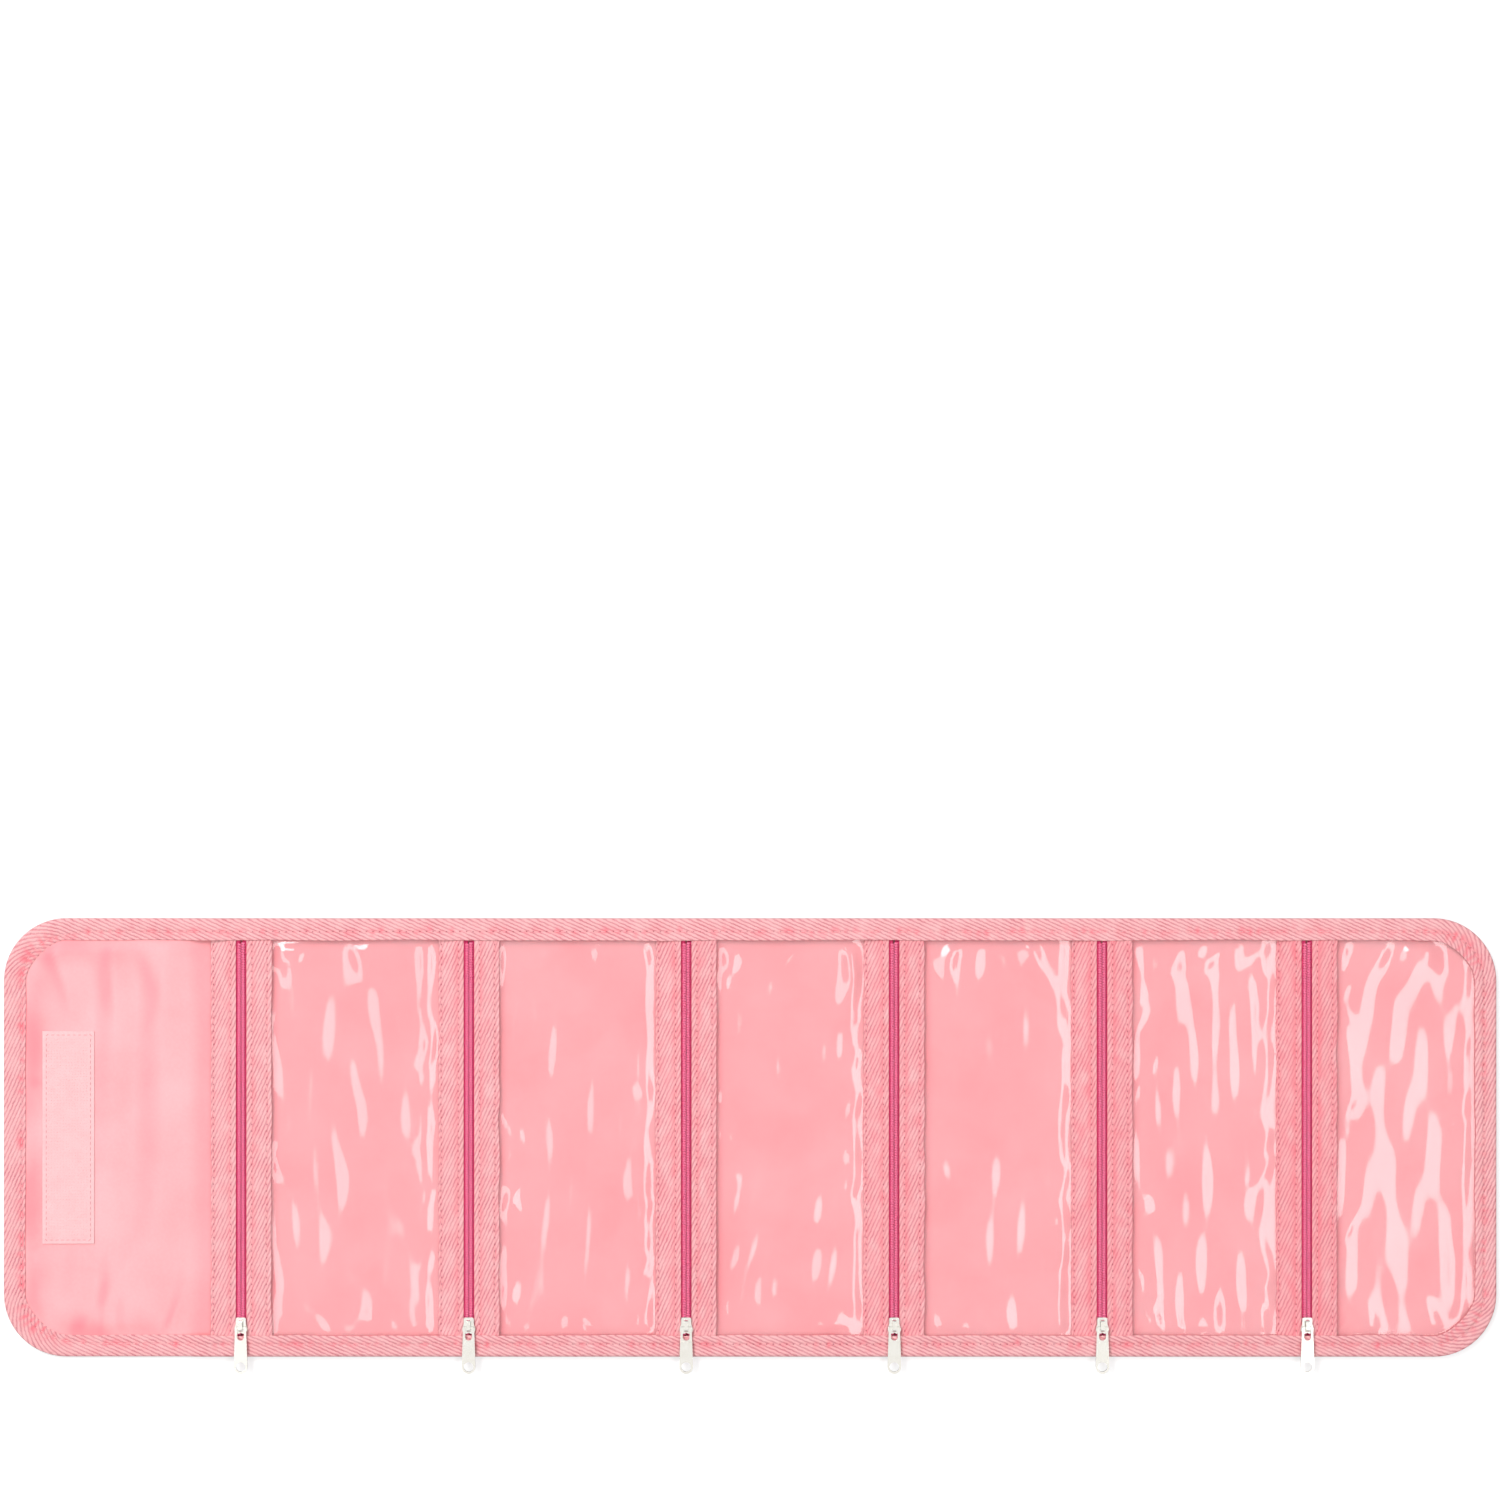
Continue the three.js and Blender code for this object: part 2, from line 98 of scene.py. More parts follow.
def softWaves(x, y, size, seed, stretch=1.0, count=14):
    # a smooth random field of about -1 to 1, with waves about as long as size, longer along Y by stretch
    random = np.random.default_rng(seed)
    total = 0
    for _ in range(count):
        turn = random.uniform(0, math.pi)
        pace = 2 * math.pi / size * random.uniform(0.55, 1.5)
        across = x * math.cos(turn) + y * math.sin(turn) / stretch
        total = total + np.sin(pace * across + random.uniform(0, 7))
    return total / math.sqrt(count)


def edgeDistance(x, y):
    beyondX = np.abs(x) - (halfLength - cloth["corner"])
    beyondY = np.abs(y) - (halfWidth - cloth["corner"])
    inCorner = (beyondX > 0) & (beyondY > 0)
    return cloth["corner"] - np.where(inCorner, np.hypot(beyondX, beyondY), np.maximum(beyondX, beyondY))


def farFromEdge(x, y, look):
    # 0 by the binding, where the sheets are held flat, and 1 where they are free
    return softStep((edgeDistance(x, y) - look["calmEdge"]) / look["calmOver"])


def pocketLift(x, y):
    lift = softStep((edgeDistance(x, y) - cloth["seamFlat"]) / cloth["seamRise"])
    for place in dividerPlaces:
        before = softStep((place - x) / cloth["dividerRise"])
        after = softStep((x - place - cloth["dividerFlat"]) / cloth["dividerRise"])
        lift = lift * np.where(x < place + cloth["dividerFlat"] / 2, before, after)
    return cloth["pocketDepth"] * lift


# Meshes

def linkObject(name, data):
    obj = bpy.data.objects.new(name, data)
    bpy.context.scene.collection.objects.link(obj)
    return obj


def inFrame(points):
    # from mm in the cloth's own frame to the part's frame
    return (np.asarray(points) + (0, clothShift, 0)) * mm


def buildMesh(name, points, faces, layers, shadeTones=None):
    # points in mm; layers of uvs in mm, one for each point or one for each face corner
    mesh = bpy.data.meshes.new(name)
    placed = inFrame(points)
    mesh.from_pydata(placed.tolist(), [], np.asarray(faces).tolist())
    corners = np.empty(len(mesh.loops), int)
    mesh.loops.foreach_get("vertex_index", corners)
    for layerName, uvs in layers.items():
        uvs = np.asarray(uvs, float)
        uvs = uvs[corners] if len(uvs) == len(placed) else uvs
        mesh.uv_layers.new(name=layerName).data.foreach_set("uv", (uvs * mm).ravel())
    # a painted shade tone for each point, 0 to 1, which the cloth materials turn into a deeper pink
    if shadeTones is not None:
        attribute = mesh.attributes.new("shadeTone", "FLOAT", "POINT")
        attribute.data.foreach_set("value", np.clip(np.asarray(shadeTones, float).ravel(), 0, 1))
    mesh.shade_smooth()
    return linkObject(name, mesh)


def gridFaces(rows, columns, start=0):
    index = start + np.arange(rows * columns).reshape(rows, columns)
    corners = (index[:-1, :-1], index[:-1, 1:], index[1:, 1:], index[1:, :-1])
    return np.stack(corners, -1).reshape(-1, 4)


def sheetMesh(name, x, y, middle, thickness, rounding=0.3, seams=None, shadeTones=None):
    # a closed sheet from grids of places, with its edges rounded off
    rows, columns = x.shape
    fromEdge = np.full(x.shape, 9.0)
    for axis in (0, 1):
        steps = np.hypot(np.diff(x, axis=axis), np.diff(y, axis=axis))
        zero = np.zeros_like(np.take(x, [0], axis=axis))
        along = np.concatenate([zero, np.cumsum(steps, axis=axis)], axis=axis)
        fromEdge = np.minimum(fromEdge, np.minimum(along, np.take(along, [-1], axis=axis) - along))
    inward = np.clip(fromEdge / rounding, 0, 1)
    half = thickness / 2 * np.sqrt(np.clip(1 - (1 - inward) ** 2, 0.04, 1))
    top = np.stack([x, y, middle + half], -1).reshape(-1, 3)
    bottom = np.stack([x, y, middle - half], -1).reshape(-1, 3)
    count = rows * columns
    index = np.arange(count).reshape(rows, columns)
    rim = np.concatenate([index[0, :-1], index[:-1, -1], index[-1, :0:-1], index[:0:-1, 0]])
    following = np.roll(rim, -1)
    sides = np.stack([rim + count, following + count, following, rim], -1)
    faces = np.concatenate([gridFaces(rows, columns), gridFaces(rows, columns, count)[:, ::-1], sides])
    layers = {"cloth": np.stack([x, y], -1).reshape(-1, 2)}
    if seams is not None:
        layers["seam"] = np.stack(seams, -1).reshape(-1, 2)
    layers = {layerName: np.concatenate([uvs, uvs]) for layerName, uvs in layers.items()}
    if shadeTones is not None:
        shadeTones = np.concatenate([shadeTones.ravel(), shadeTones.ravel()])
    return buildMesh(name, np.concatenate([top, bottom]), faces, layers, shadeTones)


def stations(start, end, spacing, extra=(), nearEnds=(0.12, 0.3), closest=0.06):
    # evenly spaced places, closer at both ends where the edge is rounded
    count = max(2, round((end - start) / spacing) + 1)
    ends = [place for near in nearEnds for place in (start + near, end - near)]
    places = [*np.linspace(start, end, count), *ends, *extra]
    places = sorted(set(round(p, 4) for p in places if start <= p <= end))
    kept = [places[0]]
    for place in places[1:]:
        if place - kept[-1] > closest:
            kept.append(place)
    kept[-1] = end
    return np.array(kept)


# Materials

def linear(hexColour):
    parts = [int(hexColour[i:i + 2], 16) / 255 for i in (1, 3, 5)]
    return tuple(p / 12.92 if p <= 0.04045 else ((p + 0.055) / 1.055) ** 2.4 for p in parts) + (1.0,)


def socketOf(sockets, key):
    if isinstance(key, int):
        return sockets[key]
    return next(s for s in sockets if s.name == key and s.enabled)


def addNode(tree, kind, settings=None, links=None):
    # settings are the node's own properties or its inputs' values; links are what feeds its inputs
    node = tree.nodes.new(kind)
    for key, value in (settings or {}).items():
        if isinstance(key, str) and hasattr(node, key):
            setattr(node, key, value)
        else:
            socketOf(node.inputs, key).default_value = value
    for key, source in (links or {}).items():
        output = source if isinstance(source, bpy.types.NodeSocket) else source.outputs[0]
        tree.links.new(output, socketOf(node.inputs, key))
    return node


def startMaterial(name):
    material = bpy.data.materials.new(name)
    material.use_nodes = True
    material.node_tree.nodes.clear()
    return material, material.node_tree


def mixed(tree, share, first, second):
    # two colours mixed, each a hex colour or what feeds it
    settings, links = {"data_type": "RGBA"}, {"Factor": share}
    for key, colour in (("A", first), ("B", second)):
        if isinstance(colour, str):
            settings[key] = linear(colour)
        else:
            links[key] = colour
    return socketOf(addNode(tree, "ShaderNodeMix", settings, links).outputs, "Result")


def reckon(tree, operation, *values):
    # a Math node, each value a number or what feeds it
    numbers = {i: value for i, value in enumerate(values) if isinstance(value, (int, float))}
    sources = {i: value for i, value in enumerate(values) if i not in numbers}
    return addNode(tree, "ShaderNodeMath", {"operation": operation, **numbers}, sources)


def ranged(tree, source, to, between=(0.0, 1.0)):
    ends = {"From Min": between[0], "From Max": between[1], "To Min": to[0], "To Max": to[1]}
    return addNode(tree, "ShaderNodeMapRange", ends, {"Value": source})


def noise(tree, place, size, detail, distortion=0.0):
    # size in mm
    return addNode(tree, "ShaderNodeTexNoise", {
        "Scale": 1 / (size * mm), "Detail": detail, "Distortion": distortion}, {"Vector": place})


def bands(tree, place, pitch, distortion, direction="X", finer=None):
    # waves whose bands are pitch mm apart; finer is what breaks them up
    return addNode(tree, "ShaderNodeTexWave", {
        "bands_direction": direction, "Scale": math.pi / 10 / (pitch * mm), "Distortion": distortion,
        **(finer or {})}, {"Vector": place})


def bumped(tree, height, strength, relief):
    # relief in mm
    settings = {"Strength": strength, "Distance": relief * mm}
    return addNode(tree, "ShaderNodeBump", settings, {"Height": height})


# how deep the painted shade is, read from the mesh's attribute
def shadeToneOf(tree):
    return addNode(tree, "ShaderNodeAttribute", {"attribute_name": "shadeTone"}).outputs["Fac"]


def placeIn(tree, layer=None):
    # the place in a layer of uvs, or else in the object
    if layer:
        return addNode(tree, "ShaderNodeUVMap", {"uv_map": layer})
    return addNode(tree, "ShaderNodeTexCoord").outputs["Object"]


def finishMaterial(tree, colour, rough, bump, **settings):
    named = {key.replace("_", " "): value for key, value in settings.items()}
    shader = addNode(tree, "ShaderNodeBsdfPrincipled", named, {
        "Base Color": colour, "Roughness": rough, "Normal": bump})
    addNode(tree, "ShaderNodeOutputMaterial", {}, {"Surface": shader})


twillLook = {
    "colour": "#fcbabd",
    # painted shade in the grooves between the ribs
    "grooveShade": "#d67c86",
    "worn": "#fdcbcc",
    # painted shade where the tape is folded, creased or shadowed
    "shadedPink": "#f57f8b",
    "holes": "#b85866",
    "ribPitch": 1.65,     # real twill tape has ribs 0.6 mm apart; drawn coarser so that they show
    "ribLean": 24,        # degrees from the tape's length
    "yarnPitch": 0.7,
    "yarnShare": 0.42,    # of the yarns in the relief, beside the ribs
    "wornSize": 9,
    "relief": 0.2,
    "holeRadius": 0.42,
}


def needleHoles(tree, pitch, radius):
    # 1 at each needle hole of the seam, from the distance to it and the way along it
    parts = addNode(tree, "ShaderNodeSeparateXYZ", {}, {0: placeIn(tree, "seam")})
    share = reckon(tree, "FRACT", reckon(tree, "DIVIDE", parts.outputs["Y"], pitch * mm))
    along = reckon(tree, "MULTIPLY", reckon(tree, "SUBTRACT", share, 0.5), pitch * mm)
    offset = addNode(tree, "ShaderNodeCombineXYZ", {}, {"X": parts.outputs["X"], "Y": along})
    away = addNode(tree, "ShaderNodeVectorMath", {"operation": "LENGTH"}, {0: offset})
    holes = ranged(tree, away.outputs["Value"], to=(1.0, 0.0), between=(radius * mm * 0.3, radius * mm))
    holes.interpolation_type = "SMOOTHSTEP"
    return holes


def twillMaterial(name, lean, stitchPitch, look=twillLook):
    # polyester twill tape: slanting ribs, matt, paler where it is rubbed, with painted shade in the grooves
    # between the ribs, in its folds and creases and in the needle holes
    material, tree = startMaterial(name)
    uv = placeIn(tree, "cloth")
    turned = addNode(tree, "ShaderNodeMapping", {"Rotation": (0, 0, math.radians(lean))}, {"Vector": uv})
    ribs = bands(tree, turned, look["ribPitch"], 1.6, finer={"Detail": 1.5, "Detail Scale": 2.5})
    yarns = bands(tree, turned, look["yarnPitch"], 2.2, "Y", {"Detail": 1.0, "Detail Scale": 2.0})
    height = reckon(tree, "MULTIPLY", reckon(tree, "MULTIPLY_ADD", yarns, look["yarnShare"], ribs), 0.7)
    grain = addNode(tree, "ShaderNodeValToRGB", {}, {"Fac": height})
    stops = ((0.12, look["grooveShade"]), (0.66, look["colour"]))
    for element, (position, colour) in zip(grain.color_ramp.elements, stops):
        element.position = position
        element.color = linear(colour)
    worn = ranged(tree, noise(tree, uv, look["wornSize"], 2.0), to=(0.0, 0.45), between=(0.35, 0.75))
    rubbed = mixed(tree, worn, grain, look["worn"])
    # painted shade, as deep as the mesh's shade tone asks
    shadedPink = mixed(tree, shadeToneOf(tree), rubbed, look["shadedPink"])
    holes = needleHoles(tree, stitchPitch, look["holeRadius"])
    bump = bumped(tree, reckon(tree, "SUBTRACT", height, holes), 0.9, look["relief"])
    # painted shade in the needle holes
    colour = mixed(tree, holes, shadedPink, look["holes"])
    finishMaterial(tree, colour, ranged(tree, height, to=(0.9, 0.72)), bump,
                   Specular_IOR_Level=0.25, Sheen_Weight=0.15, Sheen_Roughness=0.4)
    return material


liningLook = {
    "colour": "#febbbf",
    "shade": "#fca7ac",
    # painted shade in the folds, hollows and under the pockets
    "shadedPink": "#f9838e",
    "threadPitch": 0.5,   # satin threads are 0.1 mm; drawn coarser and faint
    "cloudSize": 45,
    "fleckSize": 1.4,
}


def liningMaterial(look=liningLook):
    # polyester satin lining: smooth, a soft sheen along the threads
    material, tree = startMaterial("satin lining")
    place = placeIn(tree)
    threads = bands(tree, place, look["threadPitch"], 3.0, "Y", {"Detail": 2.0})
    clouds = noise(tree, place, look["cloudSize"], 3.0)
    tone = reckon(tree, "MULTIPLY_ADD", noise(tree, place, look["fleckSize"], 2.0), 0.25, clouds)
    share = ranged(tree, tone, to=(0.0, 1.0), between=(0.4, 0.85))
    # deeper pink where the mesh asks for painted shade
    colour = mixed(tree, shadeToneOf(tree), mixed(tree, share, look["shade"], look["colour"]), look["shadedPink"])
    finishMaterial(tree, colour, ranged(tree, clouds, to=(0.36, 0.5)), bumped(tree, threads, 0.25, 0.04),
                   Specular_IOR_Level=0.4, Sheen_Weight=0.15, Sheen_Roughness=0.3)
    return material


canvasLook = {
    "colour": "#f08e98",
    # painted shade in the gaps between the yarns
    "gapShade": "#cf6a77",
    "yarnPitch": 0.95,    # 600D oxford has yarns 0.5 mm apart; drawn coarser so that they show
    "relief": 0.2,
    "cloudSize": 30,
}


def shaded(tree, colour, source, to):
    # a colour, hex or what feeds it, made darker and brighter by the source
    value = ranged(tree, source, to)
    if isinstance(colour, str):
        return addNode(tree, "ShaderNodeHueSaturation", {"Color": linear(colour)}, {"Value": value})
    return addNode(tree, "ShaderNodeHueSaturation", {}, {"Color": colour, "Value": value})


def canvasMaterial(look=canvasLook):
    # polyester oxford: a basket of flat yarns, each catching the light on its crown, with painted shade in
    # the gaps between them
    material, tree = startMaterial("polyester oxford")
    place = placeIn(tree)
    warp = bands(tree, place, look["yarnPitch"], 0.6, finer={"Detail Scale": 1.5})
    weft = bands(tree, place, look["yarnPitch"], 0.6, "Y", {"Detail Scale": 1.5})
    over = addNode(tree, "ShaderNodeTexChecker", {"Scale": 1 / (look["yarnPitch"] * mm)}, {"Vector": place})
    basket = addNode(tree, "ShaderNodeMix", {"data_type": "FLOAT"}, {
        "Factor": over.outputs["Fac"], "A": warp.outputs["Fac"], "B": weft.outputs["Fac"]})
    height = socketOf(basket.outputs, "Result")
    clouds = noise(tree, place, look["cloudSize"], 3.0)
    colour = shaded(tree, mixed(tree, height, look["gapShade"], look["colour"]), clouds, to=(0.93, 1.07))
    bump = bumped(tree, height, 0.8, look["relief"])
    finishMaterial(tree, colour, ranged(tree, height, to=(0.88, 0.66)), bump, Specular_IOR_Level=0.3)
    return material


# the gaps' colour is painted shade between the ribs
zipTapeLook = {"colour": "#ff5c90", "gapShade": "#e03a70", "ribPitch": 0.7, "crossPitch": 0.56, "relief": 0.12}


def zipTapeMaterial(look=zipTapeLook):
    # woven polyester zip tape: fine ribs along its length, with painted shade between them
    material, tree = startMaterial("woven zip tape")
    uv = placeIn(tree, "cloth")
    ribs = bands(tree, uv, look["ribPitch"], 0.8)
    height = reckon(tree, "MULTIPLY", ribs, bands(tree, uv, look["crossPitch"], 1.0, "Y"))
    colour = mixed(tree, height, look["gapShade"], look["colour"])
    bump = bumped(tree, height, 0.7, look["relief"])
    finishMaterial(tree, colour, ranged(tree, height, to=(0.85, 0.6)), bump, Specular_IOR_Level=0.3)
    return material


coilLook = {"colour": "#ff86aa", "deep": "#ff6a98", "cloudSize": 2.5}


def coilMaterial(look=coilLook):
    # dyed nylon filament: smooth and a little translucent
    material, tree = startMaterial("nylon coil")
    clouds = noise(tree, placeIn(tree), look["cloudSize"], 2.0)
    colour = mixed(tree, clouds, look["deep"], look["colour"])
    finishMaterial(tree, colour, ranged(tree, clouds, to=(0.25, 0.42)), bumped(tree, clouds, 0.2, 0.05),
                   Subsurface_Weight=0.15, Subsurface_Scale=0.0006, Subsurface_Radius=(1.0, 0.35, 0.4))
    return material


filmLook = {
    "tint": "#fffdfd",
    "milk": "#ffdcdf",
    "milkShare": 0.14,
    "roughness": 0.1,
    "ior": 1.75,
    "rippleSize": 26,
}


def filmMaterial(look=filmLook):
    # clear plasticised PVC: see-through, faintly milky, with sharp highlights along its wrinkles
    material, tree = startMaterial("clear vinyl film")
    ripple = noise(tree, placeIn(tree), look["rippleSize"], 0.0, 0.4)
    bump = bumped(tree, ripple, 0.3, 1.0)
    clear = addNode(tree, "ShaderNodeBsdfTransparent", {"Color": linear(look["tint"])})
    milk = addNode(tree, "ShaderNodeBsdfDiffuse", {"Color": linear(look["milk"])}, {"Normal": bump})
    haze = ranged(tree, ripple, to=(look["milkShare"] * 0.5, look["milkShare"] * 1.5), between=(0.3, 0.7))
    # light isn't bent on its way in, so only the outer faces reflect: the inner ones would shut it all in
    inside = addNode(tree, "ShaderNodeNewGeometry").outputs["Backfacing"]
    outside = reckon(tree, "SUBTRACT", 1.0, inside)
    outerHaze = reckon(tree, "MULTIPLY", haze, outside)
    body = addNode(tree, "ShaderNodeMixShader", {}, {0: outerHaze, 1: clear, 2: milk})
    gloss = addNode(tree, "ShaderNodeBsdfGlossy", {"Roughness": look["roughness"]}, {"Normal": bump})
    edge = addNode(tree, "ShaderNodeFresnel", {"IOR": look["ior"]}, {"Normal": bump})
    outerEdge = reckon(tree, "MULTIPLY", edge, outside)
    shader = addNode(tree, "ShaderNodeMixShader", {}, {0: outerEdge, 1: body, 2: gloss})
    addNode(tree, "ShaderNodeOutputMaterial", {}, {"Surface": shader})
    return material


closureLook = {"colour": "#fecfd1", "shade": "#fbc0c3", "knitSize": 0.9, "cloudSize": 6}


def closureMaterial(name, look=closureLook):
    # knitted nylon of hook and loop tape
    material, tree = startMaterial(name)
    place = placeIn(tree)
    cells = addNode(tree, "ShaderNodeTexVoronoi", {"Scale": 1 / (look["knitSize"] * mm)}, {"Vector": place})
    knit = cells.outputs["Distance"]
    clouds = noise(tree, place, look["cloudSize"], 3.0)
    colour = mixed(tree, reckon(tree, "MULTIPLY_ADD", knit, 0.5, clouds), look["colour"], look["shade"])
    finishMaterial(tree, colour, ranged(tree, clouds, to=(0.55, 0.8)), bumped(tree, knit, 0.6, 0.2),
                   Sheen_Weight=0.2, Sheen_Roughness=0.4)
    return material


nickelLook = {"colour": "#f5f3ed", "tarnish": "#e8e4da", "markSize": 4}


def nickelMaterial(look=nickelLook):
    # bright nickel plate over zinc: polished, with faint tumbling marks
    material, tree = startMaterial("nickel plate")
    marks = noise(tree, placeIn(tree), look["markSize"], 1.0)
    colour = mixed(tree, marks, look["colour"], look["tarnish"])
    bump = bumped(tree, marks, 0.1, 0.1)
    finishMaterial(tree, colour, ranged(tree, marks, to=(0.12, 0.18)), bump, Metallic=1.0)
    return material


threadLook = {"pink": "#fbbcc0", "closure": "#e7949b", "deepPink": "#ff7ba4", "twistPitch": 0.35}


def threadMaterial(name, colour, look=threadLook):
    # polyester sewing thread: a tight twist with a low shine, with painted light and shade along the twist
    material, tree = startMaterial(name)
    twist = bands(tree, placeIn(tree), look["twistPitch"], 1.0, "DIAGONAL")
    tone = shaded(tree, look[colour], twist, to=(0.86, 1.08))
    finishMaterial(tree, tone, ranged(tree, twist, to=(0.4, 0.6)), bumped(tree, twist, 0.5, 0.05))
    return material


# Stitching: how far apart the stitches are, in mm, worked out so that each seam holds a whole number

seams = {
    "stitch": 3.2,          # about how far apart
    "gap": 0.75,            # from one stitch to the next
    "thickness": 0.42,
    "underThickness": 0.24,
    "wander": 0.06,         # how far each stitch turns, radians
    "sunk": 0.04,           # into the strip
    "pitchShare": 0.9995,   # of the pitch, so that the last stitch isn't lost to rounding
    "stripSeamHalf": 94,    # seams on the strips run this far to each side of the middle
    "bindingIn": 6.3,       # from the outer edge, along the sides
    "bindingInAtEnd": 8.6,  # and round the flap's end
    "endReach": 45,         # from the end, where the seam starts to move in
    "endOver": 25,
    "overBinding": 0.1,     # the thread's middle over the binding's upper face
    "underBinding": 0.13,   # and over the table, in the groove underneath
    "edgeStep": 2.1,        # between places round the edge
    "stripPlaces": 95,      # along each seam of a strip
}


def evenPitch(length):
    return length / round(length / seams["stitch"])


def edgePath(step):
    # places round the outer edge, anticlockwise, with the way outwards and how deep in a corner each is
    straightX, straightY = halfLength - cloth["corner"], halfWidth - cloth["corner"]
    corners = [(x * straightX, y * straightY) for x, y in ((1, 1), (-1, 1), (-1, -1), (1, -1))]
    points, outwards, depths = [], [], []
    for quarter, centre in enumerate(corners):
        count = round(math.pi / 2 * cloth["corner"] / step)
        angles = (quarter + np.arange(count) / count) * math.pi / 2
        directions = np.stack([np.cos(angles), np.sin(angles)], -1)
        points.append(np.array(centre) + cloth["corner"] * directions)
        outwards.append(directions)
        depths.append(np.sin(math.pi * np.arange(count) / count))
        straight = 2 * (straightX if quarter % 2 == 0 else straightY)
        count = round(straight / step)
        angle = (quarter + 1) * math.pi / 2
        direction = np.array([math.cos(angle), math.sin(angle)])
        along = np.array([-direction[1], direction[0]])
        begin = np.array(centre) + cloth["corner"] * direction
        points.append(begin + along * (straight * np.arange(count) / count)[:, None])
        outwards.append(np.repeat(direction[None], count, axis=0))
        depths.append(np.zeros(count))
    return np.concatenate(points), np.concatenate(outwards), np.concatenate(depths)


def travelledAlong(points):
    # the way along a closed line up to each of its points, and its whole length
    steps = np.hypot(*(np.roll(points, -1, axis=0) - points).T)
    total = np.concatenate([[0], np.cumsum(steps)])
    return total[:-1], total[-1]


def seamIn(x):
    nearEnd = softStep((-x - halfLength + seams["endReach"]) / seams["endOver"])
    return seams["bindingIn"] + (seams["bindingInAtEnd"] - seams["bindingIn"]) * nearEnd


edgePoints, edgeOutwards, edgeDepths = edgePath(seams["edgeStep"])
edgeTravelled, edgeLength = travelledAlong(edgePoints)
seamPoints = edgePoints - edgeOutwards * seamIn(edgePoints[:, 0])[:, None]
seamTravelled, seamLength = travelledAlong(seamPoints)
stripPitch = evenPitch(2 * seams["stripSeamHalf"])
bindingPitch = evenPitch(seamLength)

stripTwill = twillMaterial("strip twill tape", twillLook["ribLean"], stripPitch)
bindingTwill = twillMaterial("binding twill tape", 90 - twillLook["ribLean"], bindingPitch)
satinLining = liningMaterial()
oxfordCanvas = canvasMaterial()
zipTapeCloth = zipTapeMaterial()
nylonCoil = coilMaterial()
clearVinyl = filmMaterial()
closureGround = closureMaterial("closure ground")
nickelPlate = nickelMaterial()
closureYarn = closureMaterial("closure yarn")
pinkThread = threadMaterial("pink sewing thread", "pink")
closureThread = threadMaterial("closure sewing thread", "closure")
deepThread = threadMaterial("deep pink sewing thread", "deepPink")
print("materials made")


def finishPiece(obj, material, nodes=(), body="wallet"):
    if material is not None:
        obj.data.materials.clear()
        obj.data.materials.append(material)
    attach(obj, body)
    if nodes:
        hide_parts(*nodes)
    return obj


# Cover and lining

cover = {"step": 4.5, "wave": 0.16, "waveSize": 60, "calmEdge": 10, "calmOver": 20}
lining = {
    "flapStep": 1.5,
    "pocketStep": 4,
    "acrossStep": 2.3,
    "flapReach": 5,        # of the fine steps past the first divider strip's start
    "nearStrip": (-2, -1, 0, 1, 2, 3, 4.5),    # closer steps beside each window strip
    "calmEdge": 9,
    "calmOver": 8,
    "sag": 0.2,            # slow waves, mm
    "sagSize": 55,
    "sagHighest": 0.6,
    "folds": 0.85,         # the soft folds on the flap, mm
    "broadFolds": 0.35,
    "broadSize": 26,
    "broadSquash": 0.12,   # they run nearly straight along Y
    "foldTone": 0.5,       # how much deeper their colour is on the side away from the light
    "foldToneGain": 2.2,
    "hollowTone": 0.6,     # painted shade in the hollow along the binding
    "hollowEdge": 10,
    "hollowOver": 16,
    "seamTone": 0.55,      # and along the first divider strip
    "underStrip": 0.6,     # and a painted shadow where the pocket's front dips under the strip before it
    "underStripPlace": 0.6,
    "underStripWidth": 1.9,
    # painted shade under the clear pocket fronts
    "pocketTone": 0.35,
    "pocketWave": 0.1,
    "pocketWaveSize": 22,
    "cloudSize": 34,
    "hookOver": 9,
    "hookHalf": (13, 52),  # the hook tape's half size and a little more, which stays flat
}
sideFolds = {              # folds that run in over the flap from its two long edges
    "count": 18,
    "fromEnd": 14,
    "fromStrip": 8,
    "fromEdge": 8,
    "length": (25, 70),
    "lean": (-0.5, 0.5),
    "width": (3.5, 9),
    "snake": 5,
    "snakes": (1, 3),
    "peak": 0.1,
    "fade": 0.5,
    "height": (0.3, 1),
}
endFolds = {               # and from its end
    "count": 9,
    "fromEdge": 9,
    "start": (-95, 95),
    "length": (18, 50),
    "lean": (-0.6, 0.6),
    "width": (4, 9),
    "fade": 0.6,
    "height": (0.3, 0.8),
}


def roundedGrid(xs, ys):
    # a grid whose rows end on the cloth's rounded outline
    y = np.repeat(ys[:, None], len(xs), axis=1)
    radius = cloth["corner"] - cloth["inset"]
    into = np.clip(np.abs(y) - (halfWidth - cloth["corner"]), 0, radius)
    reach = halfLength - cloth["corner"] + np.sqrt(np.clip(radius ** 2 - into ** 2, 0, None))
    return xs[None, :] / sheetHalfLength * reach, y


def makeCover():
    xs = stations(-sheetHalfLength, sheetHalfLength, cover["step"])
    ys = stations(-sheetHalfWidth, sheetHalfWidth, cover["step"])
    x, y = roundedGrid(xs, ys)
    low, thickness = cloth["canvas"]
    waves = 1 + softWaves(x, y, cover["waveSize"], 3)
    middle = low + thickness / 2 - cover["wave"] * farFromEdge(x, y, cover) * waves / 2
    obj = sheetMesh("canvas_cover", x, y, middle, thickness - cloth["slack"])
    finishPiece(obj, oxfordCanvas, ["outer_cover"])


